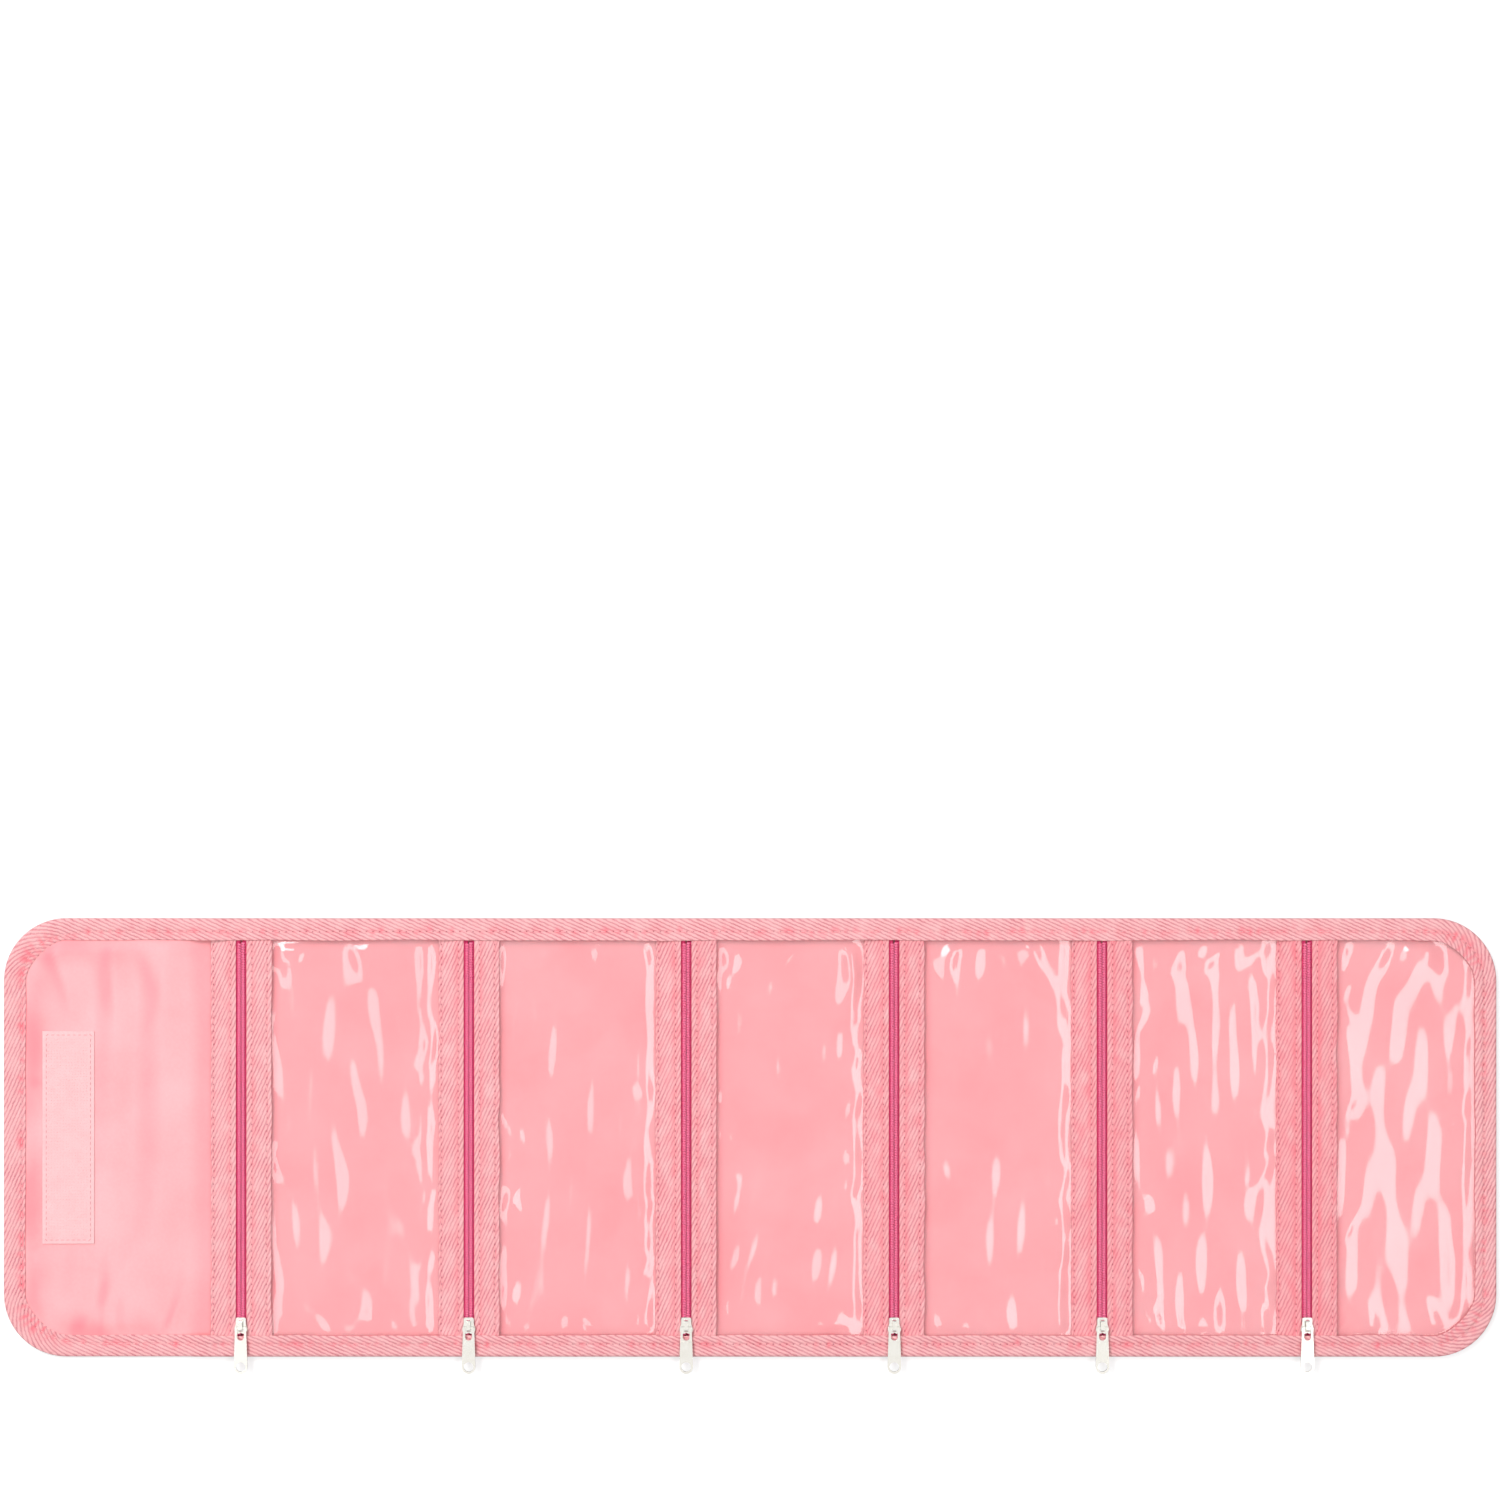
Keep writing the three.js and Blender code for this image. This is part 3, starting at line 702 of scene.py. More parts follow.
def flapFolds(x, y):
    # soft folds that run in from the binding, fading towards the middle
    random = np.random.default_rng(21)
    folds = 0
    look = sideFolds
    for _ in range(look["count"]):
        side = random.choice([-1, 1])
        start = random.uniform(-halfLength + look["fromEnd"], dividerPlaces[0] - look["fromStrip"])
        length = random.uniform(*look["length"])
        lean = random.uniform(*look["lean"])
        width = random.uniform(*look["width"])
        along = (halfWidth - look["fromEdge"] - side * y) / length
        snake = look["snake"] * np.sin(along * random.uniform(*look["snakes"]))
        across = x - start - lean * along * length - snake
        fade = bell(along - look["peak"], look["fade"])
        folds = folds + random.uniform(*look["height"]) * fade * bell(across, width)
    look = endFolds
    for _ in range(look["count"]):
        start = random.uniform(*look["start"])
        length = random.uniform(*look["length"])
        width = random.uniform(*look["width"])
        along = (x + halfLength - look["fromEdge"]) / length
        across = y - start - random.uniform(*look["lean"]) * along * length
        folds = folds + random.uniform(*look["height"]) * bell(along, look["fade"]) * bell(across, width)
    broad = softWaves(x, y * lining["broadSquash"], lining["broadSize"], 31)
    return folds + lining["broadFolds"] * (1 + broad)


def windowSpan(n):
    left = zipPlaces[n] + cloth["slotHalf"] + cloth["stripWidth"]
    right = dividerPlaces[n + 1] if n < 5 else halfLength - cloth["bindingWidth"]
    return left, right


def liningRise(x, y, folds, flap, inner):
    # waves under the pockets and folds on the flap, which lies flat under the hook tape
    slow = lining["sag"] * (1.2 + softWaves(x, y, lining["sagSize"], 5)) * flap
    waves = 1 + softWaves(x, y, lining["pocketWaveSize"], 6, 2.0)
    slow = slow + lining["pocketWave"] * waves * (1 - flap)
    rise = inner * (np.clip(slow, 0, lining["sagHighest"]) + lining["folds"] * flap * folds)
    hookX = (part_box("hook_tape")[0][0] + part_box("hook_tape")[1][0]) / 2 / mm
    halfX, halfY = lining["hookHalf"]
    fromHook = np.maximum(np.abs(x - hookX) - halfX, np.abs(y) - halfY)
    return rise * softStep(fromHook / lining["hookOver"])


def liningTone(x, y, folds, flap, inner, windowStarts):
    # painted shade: deeper on the folds' sides away from the light, in the hollows along the seams, under the
    # strips' edges and under the pockets
    slope = np.gradient(folds, axis=1)
    steep = slope / (np.abs(slope).max() + 1e-6)
    deeper = np.clip(steep * lining["foldToneGain"], 0, 1) * flap * inner
    seamDip = softStep((dividerPlaces[0] - x) / 7) * 0.8 + 0.2
    inFrom = (edgeDistance(x, y) - lining["hollowEdge"]) / lining["hollowOver"]
    hollow = lining["hollowTone"] * (1 - softStep(inFrom)) + lining["seamTone"] * (1 - seamDip)
    hollow = np.clip(hollow, 0, 1) * flap
    clouds = np.clip(0.45 + 0.55 * softWaves(x, y, lining["cloudSize"], 77), 0, 1)
    toStart = np.min([np.abs(x - start - lining["underStripPlace"]) for start in windowStarts], axis=0)
    underStrip = lining["underStrip"] * bell(toStart, lining["underStripWidth"])
    pockets = lining["pocketTone"] * (1 - flap) + underStrip
    return np.clip(lining["foldTone"] * deeper + hollow * clouds + pockets, 0, 1)


def makeLining():
    flapEdge = dividerPlaces[0] + lining["flapReach"]
    flapXs = stations(-sheetHalfLength, flapEdge, lining["flapStep"])
    windowStarts = [windowSpan(n)[0] for n in range(6)]
    near = [start + offset for start in windowStarts for offset in lining["nearStrip"]]
    pocketXs = stations(flapEdge, sheetHalfLength, lining["pocketStep"], near)
    ys = stations(-sheetHalfWidth, sheetHalfWidth, lining["acrossStep"])
    x, y = roundedGrid(np.concatenate([flapXs[:-1], pocketXs[1:]]), ys)
    low, thickness = cloth["lining"]
    flap = softStep((dividerPlaces[0] - 3 - x) / 9)
    inner = farFromEdge(x, y, lining)
    folds = flapFolds(x, y)
    middle = low + thickness / 2 + liningRise(x, y, folds, flap, inner)
    tone = liningTone(x, y, folds, flap, inner, windowStarts)
    obj = sheetMesh("satin_lining", x, y, middle, thickness - cloth["slack"], shadeTones=tone)
    finishPiece(obj, satinLining, ["lining"])


makeCover()
makeLining()
print("cover and lining made")


# Twill strips and zip tapes

strips = {
    "step": 2.0,
    "across": 1.0,
    "nearSeam": (-0.55, -0.28, 0, 0.28, 0.55),    # closer steps beside each seam
    "slack": 0.04,
    "rounding": 0.28,
    "edgeWobble": 0.22,     # how far the outer edges wander, mm
    "wobbleSize": 24,
    "wave": 0.07,
    "waveSize": 7,
    "calmEdge": 10,
    "calmOver": 4,
    "stitchGroove": 0.2,
    "grooveWidth": 0.5,
    # painted shade in the stitch grooves
    "stitchGrooveShade": 0.3,
    "ridgeTone": 0.28,      # and painted shade of the bend just past the zip's seam
    "ridgeIn": 3.6,
    "ridgeWidth": 1.0,
    # painted light on the crests of the waves and painted shade in their troughs
    "waveTone": 0.12,
    "zipSeam": 2.6,         # seams, from the edge at the zip
    "windowSeam": 2.2,      # from the edge at the window
    "pocketSeam": 1.2,      # and from the edge that sews the pocket's end down
    "deeper": 0.07,         # each pocket's strips are a little deeper in colour than the last's
}
zipTape = {
    "inner": 0.45,          # from the zip's middle
    "outer": 12.5,
    "step": 3.5,
    "across": 1.2,
    "nearCord": (1.5, 1.75, 2.0, 2.25, 2.5),
    "cord": 0.38,           # height of the cord that the teeth are sewn to
    "cordIn": 2.0,
    "cordWidth": 0.35,
}


def stripSeams(n, side):
    # places of the seams along X on one strip
    edge = zipPlaces[n] + side * cloth["slotHalf"]
    far = edge + side * cloth["stripWidth"]
    farSeam = strips["windowSeam" if side > 0 else "pocketSeam"]
    return [edge + side * strips["zipSeam"], far - side * farSeam]


def stripSeed(n, side):
    return 100 + 10 * n + (side > 0)


def stripShift(x, y, n, side):
    # how far the strip wanders sideways, more towards its outer edge
    share = np.abs(x - zipPlaces[n] - side * cloth["slotHalf"]) / cloth["stripWidth"]
    wobble = softWaves(y, y * 0, strips["wobbleSize"], stripSeed(n, side))
    return side * strips["edgeWobble"] * wobble * share


def makeStrip(n, side):
    inner = zipPlaces[n] + side * cloth["slotHalf"]
    outer = inner + side * cloth["stripWidth"]
    lines = stripSeams(n, side)
    near = [line + offset for line in lines for offset in strips["nearSeam"]]
    xs = stations(min(inner, outer), max(inner, outer), strips["across"], near)
    x, y = np.meshgrid(xs, stations(-sheetHalfWidth, sheetHalfWidth, strips["step"]))
    low, thickness = cloth["strip"]
    free = farFromEdge(x, y, strips)
    waves = softWaves(x, y, strips["waveSize"], stripSeed(n, side) + 5, 1.5)
    middle = low + thickness / 2 + pocketLift(x, y) + strips["wave"] * free * waves * 0.5
    toSeam = np.min([np.abs(x - line) for line in lines], axis=0)
    groove = bell(toSeam, strips["grooveWidth"])
    middle = middle - strips["stitchGroove"] * 0.5 * free * groove
    ridge = bell(np.abs(x - inner) - strips["ridgeIn"], strips["ridgeWidth"])
    # painted shade in the stitch grooves and the bend past the zip's seam, painted light on the wave crests,
    # and deeper for each pocket further along
    shadeTone = strips["stitchGrooveShade"] * groove + strips["ridgeTone"] * ridge - strips["waveTone"] * waves
    shadeTone = np.clip(shadeTone + strips["deeper"] * n, 0, 1)
    kind = "divider_strip" if side < 0 else "window_strip"
    obj = sheetMesh(f"{kind}_{n + 1}_twill", x + stripShift(x, y, n, side), y, middle,
                    thickness - strips["slack"], strips["rounding"],
                    seams=(toSeam, y + seams["stripSeamHalf"]), shadeTones=shadeTone)
    finishPiece(obj, stripTwill, [f"{kind}_{n + 1}"])


def makeZipTape(n, side):
    name = f"zip{n + 1}_tape_" + ("left" if side < 0 else "right")
    low, thickness = cloth["zipTape"]
    inner, outer = zipPlaces[n] + side * zipTape["inner"], zipPlaces[n] + side * zipTape["outer"]
    near = [zipPlaces[n] + side * offset for offset in zipTape["nearCord"]]
    xs = stations(min(inner, outer), max(inner, outer), zipTape["across"], near)
    x, y = np.meshgrid(xs, stations(-sheetHalfWidth, sheetHalfWidth, zipTape["step"]))
    cord = zipTape["cord"] * bell(np.abs(x - zipPlaces[n]) - zipTape["cordIn"], zipTape["cordWidth"])
    middle = low + thickness / 2 + pocketLift(x, y) + cord
    obj = sheetMesh(f"{name}_weave", x, y, middle, thickness - cloth["slack"])
    finishPiece(obj, zipTapeCloth, [name])


# Clear pocket fronts

films = {
    "step": 1.7,
    "rounding": 0.2,
    "height": 0.95,       # of the tallest fold, mm
    "sideRidge": 0.7,     # along the pocket's sewn end
    "ridgeIn": 5.5,
    "ridgeSway": 1.3,
    "ridgeWidth": 2.5,
    "swaySize": 38,
    "ridgeSize": 21,
    "slow": 0.3,          # long waves down the middle
    "slowSize": 13,
    "slowStretch": 3.5,
    "sag": 0.6,           # and wider ones, as a share of them
    "sagSize": 34,
    "calmSide": 5,
    "calmEdge": 10.2,
    "calmOver": 6,
    "lowest": -0.75,
    "highest": 2.3,
}
filmEndFolds = {          # folds that run in from the binding, at each end
    "count": 10,
    "start": (-0.98, 0.98),
    "length": (14, 40),
    "lowerEnd": 0.75,     # the lower end's folds have this share of the length
    "width": (2.2, 5.4),
    "lean": (-0.9, 0.6),
    "bend": (-7, 7),
    "widening": 0.6,
    "fade": 0.75,
    "height": (0.3, 1),
}
filmSideFolds = {         # and from the pocket's sides
    "count": 8,
    "start": (-85, 85),
    "length": (6, 16),
    "width": (3, 6),
    "lean": (-1.8, 1.8),
    "fade": 0.8,
    "height": (0.25, 0.7),
}


def filmFolds(x, y, left, right, seed):
    random = np.random.default_rng(seed)
    middle, half = (left + right) / 2, (right - left) / 2
    folds = 0
    look = filmEndFolds
    for end in (-1, 1):
        for _ in range(look["count"]):
            start = middle + half * random.uniform(*look["start"])
            length = random.uniform(*look["length"]) * (1 if end > 0 else look["lowerEnd"])
            width = random.uniform(*look["width"])
            lean = random.uniform(*look["lean"])
            bend = random.uniform(*look["bend"])
            along = (halfWidth - cloth["bindingWidth"] - end * y) / length
            across = x - start - lean * along * length - bend * along ** 2
            fade = np.exp(-(np.clip(along, -1, None) / look["fade"]) ** 4)
            wide = width * (1 + look["widening"] * np.clip(along, 0, 1))
            folds = folds + random.uniform(*look["height"]) * fade * bell(across, wide)
    look = filmSideFolds
    for side in (-1, 1):
        for _ in range(look["count"]):
            start = random.uniform(*look["start"])
            length = random.uniform(*look["length"])
            width = random.uniform(*look["width"])
            lean = random.uniform(*look["lean"])
            along = (half - side * (x - middle)) / length
            across = y - start - lean * along * length
            fade = np.exp(-(np.clip(along, -1, None) / look["fade"]) ** 4)
            folds = folds + random.uniform(*look["height"]) * fade * bell(across, width)
    sway = films["ridgeSway"] * softWaves(y, y * 0, films["swaySize"], seed + 7)
    ridgePlace = right - films["ridgeIn"] + sway
    uneven = 0.65 + 0.35 * softWaves(y, y * 0, films["ridgeSize"], seed + 8)
    return folds + films["sideRidge"] * (uneven * bell(x - ridgePlace, films["ridgeWidth"]))


def filmSpan(n):
    left = zipPlaces[n] + cloth["slotHalf"] + cloth["filmTuck"]
    right = dividerPlaces[n + 1] + cloth["filmSeam"] if n < 5 else sheetHalfLength
    return left, right


def makeFilm(n):
    left, right = filmSpan(n)
    openLeft, openRight = windowSpan(n)
    ys = stations(-sheetHalfWidth, sheetHalfWidth, films["step"])
    x, y = np.meshgrid(stations(left, right, films["step"]), ys)
    if n == 5:
        limit = roundedGrid(np.array([sheetHalfLength]), ys)[0]
        x = left + (x - left) * (limit - left) / (sheetHalfLength - left)
    low, thickness = cloth["film"]
    fromSides = np.minimum(x - openLeft, openRight - x)
    free = softStep((fromSides + 0.5) / films["calmSide"]) * farFromEdge(x, y, films)
    folds = films["height"] * filmFolds(x, y, openLeft, openRight, 300 + n)
    slow = softWaves(x, y, films["slowSize"], 40 + n, films["slowStretch"])
    slow = films["slow"] * (slow + films["sag"] * softWaves(x, y, films["sagSize"], 60 + n, 2.0))
    wrinkle = np.clip(folds + slow, films["lowest"], films["highest"])
    middle = low + thickness / 2 + pocketLift(x, y) + free * wrinkle
    obj = sheetMesh(f"pocket_film_{n + 1}", x, y, middle, thickness - cloth["slack"], films["rounding"])
    finishPiece(obj, clearVinyl, [f"window_film_{n + 1}"])


for n in range(6):
    makeFilm(n)
    for side in (-1, 1):
        makeZipTape(n, side)
        makeStrip(n, side)
print("zip tapes, strips and clear fronts made")


# Binding

binding = {
    "cornerSpread": 1.7,    # extra width where the tape turns the corners
    "crown": 0.22,
    "stitchGroove": 0.2,
    "underGroove": 0.14,
    "grooveWidth": 0.6,
    "pucker": 0.16,
    "puckerSize": 5.5,
    "puckerReach": 2.6,     # to each side of the seam
    "cornerPleats": 0.5,
    "pleatPace": 1.2,       # radians a mm along the edge
    "pleatSway": 0.8,
    "pleatSwayPace": 0.37,
    "pleatSlant": 0.25,
    "pleatLimits": (-0.3, 0.5),
    "wobble": 0.2,
    "wobbleSize": 30,
    "slopeStart": 16,       # where it climbs onto the pocket fronts, before the first divider strip
    "slopeLength": 14,
    "foldDepth": 1.15,      # of the rounded fold, in from the outer edge
    "foldHalf": 1.1,        # half of the tape's width that lies in it
    "brimAcross": 0.3,      # places across the tape of what lies inside
    "insideTopAcross": 0.6,
    "insideUnderAcross": 20.2,
    "endReach": 60,         # from the flap's end, where the painted shade on the puffs starts to get deeper
    "endOver": 30,
    "stitchGrooveShade": 0.3,      # how deep the painted shade in the groove is, and how far puckers and pleats change the painted shade
    "puckerTone": 0.4,
    "pleatTone": 0.7,
    "puffShadeTone": 0.25,
    "cornerTone": 0.5,
    "flapEndTone": 0.35,
    "puffShadeSize": 16,
    "puffShadeStart": 0.15,
}
bindingLines = {            # the lines that run round the edge, in the order of the section, in mm
    "underBrim": ((0.0, 0.4), (0.04, 0.2), (0.15, 0.06), (0.4, 0.0)),    # in from the free edge, and up
    "under": np.linspace(9.6, 1.9, 9),
    "fold": np.linspace(0, math.pi, 9),                                  # angles
    "top": (1.7, 2.3, 2.9, 3.6, 4.3, 4.9, 5.4, 5.8, 6.1, 6.4, 6.8, 7.3, 7.9, 8.3, 8.6, 8.9, 9.3, 9.7, 10.0),
    "topBrim": ((0.25, 0.04), (0.1, 0.14), (0.0, 0.35), (0.1, 0.58), (0.3, 0.68)),   # and down
    "insideTop": (9.5, 7, 4, 0.8),
    "insideUnder": (0.8, 5, 9.5),
}


def bindingOver(x):
    # height of the upper half's underside: low along the flap, higher where the pocket fronts are bound in
    share = softStep((x - dividerPlaces[0] + binding["slopeStart"]) / binding["slopeLength"])
    return cloth["overFlap"] + (cloth["overPockets"] - cloth["overFlap"]) * share, share


def bindingLift(distance, share):
    return share * cloth["pocketDepth"] * softStep((distance - cloth["seamFlat"]) / cloth["seamRise"])


def bindingTop(distance):
    # height of the upper face, and how deep its painted shade is
    over, share = bindingOver(edgePoints[:, 0])
    line = seamIn(edgePoints[:, 0])
    crown = binding["crown"] * np.sin(np.clip(distance / line, 0, 1) * math.pi)
    groove = bell(distance - line, binding["grooveWidth"])
    near = bell(distance - line, binding["puckerReach"])
    puckers = near * softWaves(edgeTravelled, distance * 0.5, binding["puckerSize"], 71)
    sway = binding["pleatSway"] * np.sin(edgeTravelled * binding["pleatSwayPace"])
    slant = edgeTravelled * binding["pleatPace"] + sway + binding["pleatSlant"] * distance
    pleats = edgeDepths * softStep((distance - 2) / 6) * (np.sin(slant) - 0.2)
    height = over + cloth["bindingTape"] + bindingLift(distance, share) + crown
    height = height - binding["stitchGroove"] * groove + binding["pucker"] * puckers
    height = height + np.clip(binding["cornerPleats"] * pleats, *binding["pleatLimits"])
    flapEnd = softStep((-edgePoints[:, 0] - halfLength + binding["endReach"]) / binding["endOver"])
    # painted shade on the shaded sides of the puffs by the seam, deeper at the corners and towards the flap's
    # end
    puffShade = softWaves(edgeTravelled, distance, binding["puffShadeSize"], 72) - binding["puffShadeStart"]
    deep = binding["puffShadeTone"] + binding["cornerTone"] * edgeDepths + binding["flapEndTone"] * flapEnd
    # painted shade in the stitch groove, and painted light on raised puckers and pleats with painted shade
    # where they sink
    shadeTone = binding["stitchGrooveShade"] * groove - binding["puckerTone"] * puckers
    shadeTone = shadeTone - binding["pleatTone"] * pleats + deep * np.clip(puffShade, 0, 1) * near
    return height, np.clip(shadeTone, 0, 1)


def bindingSection():
    # distance in, height, place across the tape and painted shade tone, for each line round the edge
    tape, width = cloth["bindingTape"], cloth["bindingWidth"]
    wander = binding["wobble"] * softWaves(edgeTravelled, edgeTravelled * 0, binding["wobbleSize"], 81)
    edge = width + wander * (1 - edgeDepths) + binding["cornerSpread"] * edgeDepths ** 1.5
    over, share = bindingOver(edgePoints[:, 0])
    line = seamIn(edgePoints[:, 0])
    stretch = edge / width
    section = []

    def place(distance, height, across, shadeTone=0.0):
        section.append([value + edgeTravelled * 0 for value in (distance, height, across, shadeTone)])

    for turn, lift in bindingLines["underBrim"]:
        place(edge - turn, lift, 2 * width - turn)
    for d in bindingLines["under"]:
        groove = bell(d * stretch - line, binding["grooveWidth"])
        place(d * stretch, binding["underGroove"] * groove, width + d)
    middle = (over + tape) / 2
    for angle in bindingLines["fold"]:
        distance = binding["foldDepth"] * (1 - math.sin(angle))
        across = width + binding["foldHalf"] * (1 - 2 * angle / math.pi)
        place(distance, middle * (1 - math.cos(angle)), across)
    for d in bindingLines["top"]:
        height, shadeTone = bindingTop(d * stretch)
        place(d * stretch, height, width - d, shadeTone)
    brim = bindingTop(edge)[0]
    for turn, part in bindingLines["topBrim"]:
        place(edge - turn, brim - part, binding["brimAcross"])
    for d in bindingLines["insideTop"]:
        place(d * stretch, over + bindingLift(d * stretch, share), binding["insideTopAcross"])
    for d in bindingLines["insideUnder"]:
        place(d * stretch, tape, binding["insideUnderAcross"])
    return np.array(section).transpose(2, 0, 1)


def makeBinding():
    section = bindingSection()
    rings, count = section.shape[:2]
    flat = edgePoints[:, None] - edgeOutwards[:, None] * section[:, :, :1]
    points = np.concatenate([flat, section[:, :, 1:2]], -1)

    def wrapped(along, total, across):
        # one more line at each end, so that the tape's drawing doesn't run back over its last face
        values = np.empty((rings + 1, count + 1, 2))
        values[:-1, :, 0] = along[:, None]
        values[-1, :, 0] = total
        values[:-1, :-1, 1] = across
        values[-1, :-1, 1] = across[0]
        values[:, -1, 1] = values[:, -2, 1]
        corners = [values[:-1, :-1], values[1:, :-1], values[1:, 1:], values[:-1, 1:]]
        return np.stack(corners, 2).reshape(-1, 2)

    line = seamIn(edgePoints[:, 0])
    toSeam = wrapped(seamTravelled, seamLength, np.abs(section[:, :, 0] - line[:, None]))
    index = np.arange(rings * count).reshape(rings, count)
    following = np.roll(index, -1, axis=0)
    faces = np.stack([index, following, np.roll(following, -1, axis=1), np.roll(index, -1, axis=1)], -1)
    layers = {"cloth": wrapped(edgeTravelled, edgeLength, section[:, :, 2]), "seam": toSeam[:, ::-1]}
    obj = buildMesh("twill_binding", points.reshape(-1, 3), faces.reshape(-1, 4), layers, section[:, :, 3])
    finishPiece(obj, bindingTwill, ["edge_binding"])


makeBinding()
print("binding made")


# Closure tapes

closure = {
    "ground": 0.42,         # thickness of the woven ground, mm
    "slack": 0.04,
    "steps": (0.9, 1.1),
    "seamInset": 1.9,
    "seamDip": 0.12,
    "seamWidth": 0.4,
    "stitch": 2.6,
    "stitchThickness": {"hook_tape": 0.36, "loop_tape": 0.3},
    "threadOver": {"hook_tape": 0.04, "loop_tape": 0.02},    # its middle, over the ground
    "wave": 0.04,
    "waveSize": 18,
    "hookLift": 0.07,       # of the hook tape's ground, and how far the loop tape's is sunk
    "loopSunk": 0.02,
    "bareEdge": 3.0,        # without hooks or loops
    "yarnPitch": 1.4,
    "yarnWander": 0.18,     # of the pitch
}


def boxOf(node):
    # the node's box in the cloth's frame, in mm
    return [np.array(corner) / mm - (0, clothShift, 0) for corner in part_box(node)]


def makeClosure(node, name, facesUp):
    low, high = boxOf(node)
    stepX, stepY = closure["steps"]
    x, y = np.meshgrid(stations(low[0], high[0], stepX), stations(low[1], high[1], stepY))
    ground = closure["ground"]
    inside = np.minimum(np.minimum(x - low[0], high[0] - x), np.minimum(y - low[1], high[1] - y))
    dip = closure["seamDip"] * bell(inside - closure["seamInset"], closure["seamWidth"])
    if facesUp:
        waves = closure["wave"] * softWaves(x, y, closure["waveSize"], 7)
        middle = low[2] + ground / 2 + closure["hookLift"] + waves - dip / 2
    else:
        middle = high[2] - ground / 2 - closure["loopSunk"] + dip / 3
    obj = sheetMesh(name, x, y, middle, ground - closure["slack"])
    finishPiece(obj, closureGround, [node])


makeClosure("hook_tape", "hook_tape_ground", True)
makeClosure("loop_tape", "loop_tape_ground", False)
print("closure tapes made")


# What repeats is made with Geometry Nodes

def newTree(name, inputs, output):
    tree = bpy.data.node_groups.new(name, "GeometryNodeTree")
    for inputName, kind in inputs.items():
        tree.interface.new_socket(name=inputName, in_out="INPUT", socket_type=kind)
    tree.interface.new_socket(name=output, in_out="OUTPUT", socket_type="NodeSocketGeometry")
    return tree, addNode(tree, "NodeGroupInput").outputs


def endTree(tree, geometry, material):
    real = addNode(tree, "GeometryNodeRealizeInstances", {}, {"Geometry": geometry})
    painted = addNode(tree, "GeometryNodeSetMaterial", {}, {"Geometry": real, "Material": material})
    addNode(tree, "NodeGroupOutput", {}, {0: painted})


def spread(tree, most, seed):
    # a random value for each point, from -most to most
    least = reckon(tree, "MULTIPLY", most, -1.0)
    value = addNode(tree, "FunctionNodeRandomValue", {"data_type": "FLOAT"}, {
        "Min": least, "Max": most, "Seed": seed})
    return socketOf(value.outputs, "Value")


def runTree(name, source, tree, values):
    # puts the tree on the source, sets its inputs, and keeps the result as a plain mesh
    modifier = source.modifiers.new(tree.name, "NODES")
    modifier.node_group = tree
    for item in tree.interface.items_tree:
        if item.item_type == "SOCKET" and item.in_out == "INPUT" and item.name in values:
            modifier[item.identifier] = values[item.name]
    evaluated = source.evaluated_get(bpy.context.evaluated_depsgraph_get())
    mesh = bpy.data.meshes.new_from_object(evaluated)
    source.modifiers.remove(modifier)
    bpy.data.objects.remove(source)
    mesh.name = name
    mesh.shade_smooth()
    return linkObject(name, mesh)


def lineObject(lines, closed=False):
    # lines of points in mm, as one curve object
    curve = bpy.data.curves.new("lines", "CURVE")
    curve.dimensions = "3D"
    for points in lines:
        spline = curve.splines.new("POLY")
        spline.points.add(len(points) - 1)
        placed = inFrame(points)
        spline.points.foreach_set("co", np.concatenate([placed, np.ones((len(points), 1))], 1).ravel())
        spline.use_cyclic_u = closed
    return linkObject("lines", curve)


def bentWire(name, places, sides):
    # a short tube in X and Z through places of (x, z, half width along Y, half thickness), in mm
    path = np.array(places, float)
    tangent = np.gradient(path[:, :2], axis=0)
    tangent /= np.hypot(*tangent.T)[:, None]
    angles = 2 * math.pi * np.arange(sides) / sides
    across = path[:, 2:3] * np.cos(angles)
    outward = path[:, 3:4] * np.sin(angles)
    x = path[:, :1] - tangent[:, 1:] * outward
    z = path[:, 1:2] + tangent[:, :1] * outward
    points = np.stack([x, across, z], -1).reshape(-1, 3) * mm
    ring = np.arange(sides)
    faces = []
    for i in range(len(path) - 1):
        a, b = i * sides + ring, i * sides + np.roll(ring, -1)
        faces += np.stack([a, b, b + sides, a + sides], -1).tolist()
    faces.append(ring[::-1].tolist())
    faces.append(((len(path) - 1) * sides + ring).tolist())
    mesh = bpy.data.meshes.new(name)
    mesh.from_pydata(points.tolist(), [], faces)
    mesh.shade_smooth()
    return linkObject(name, mesh)


# Stitches

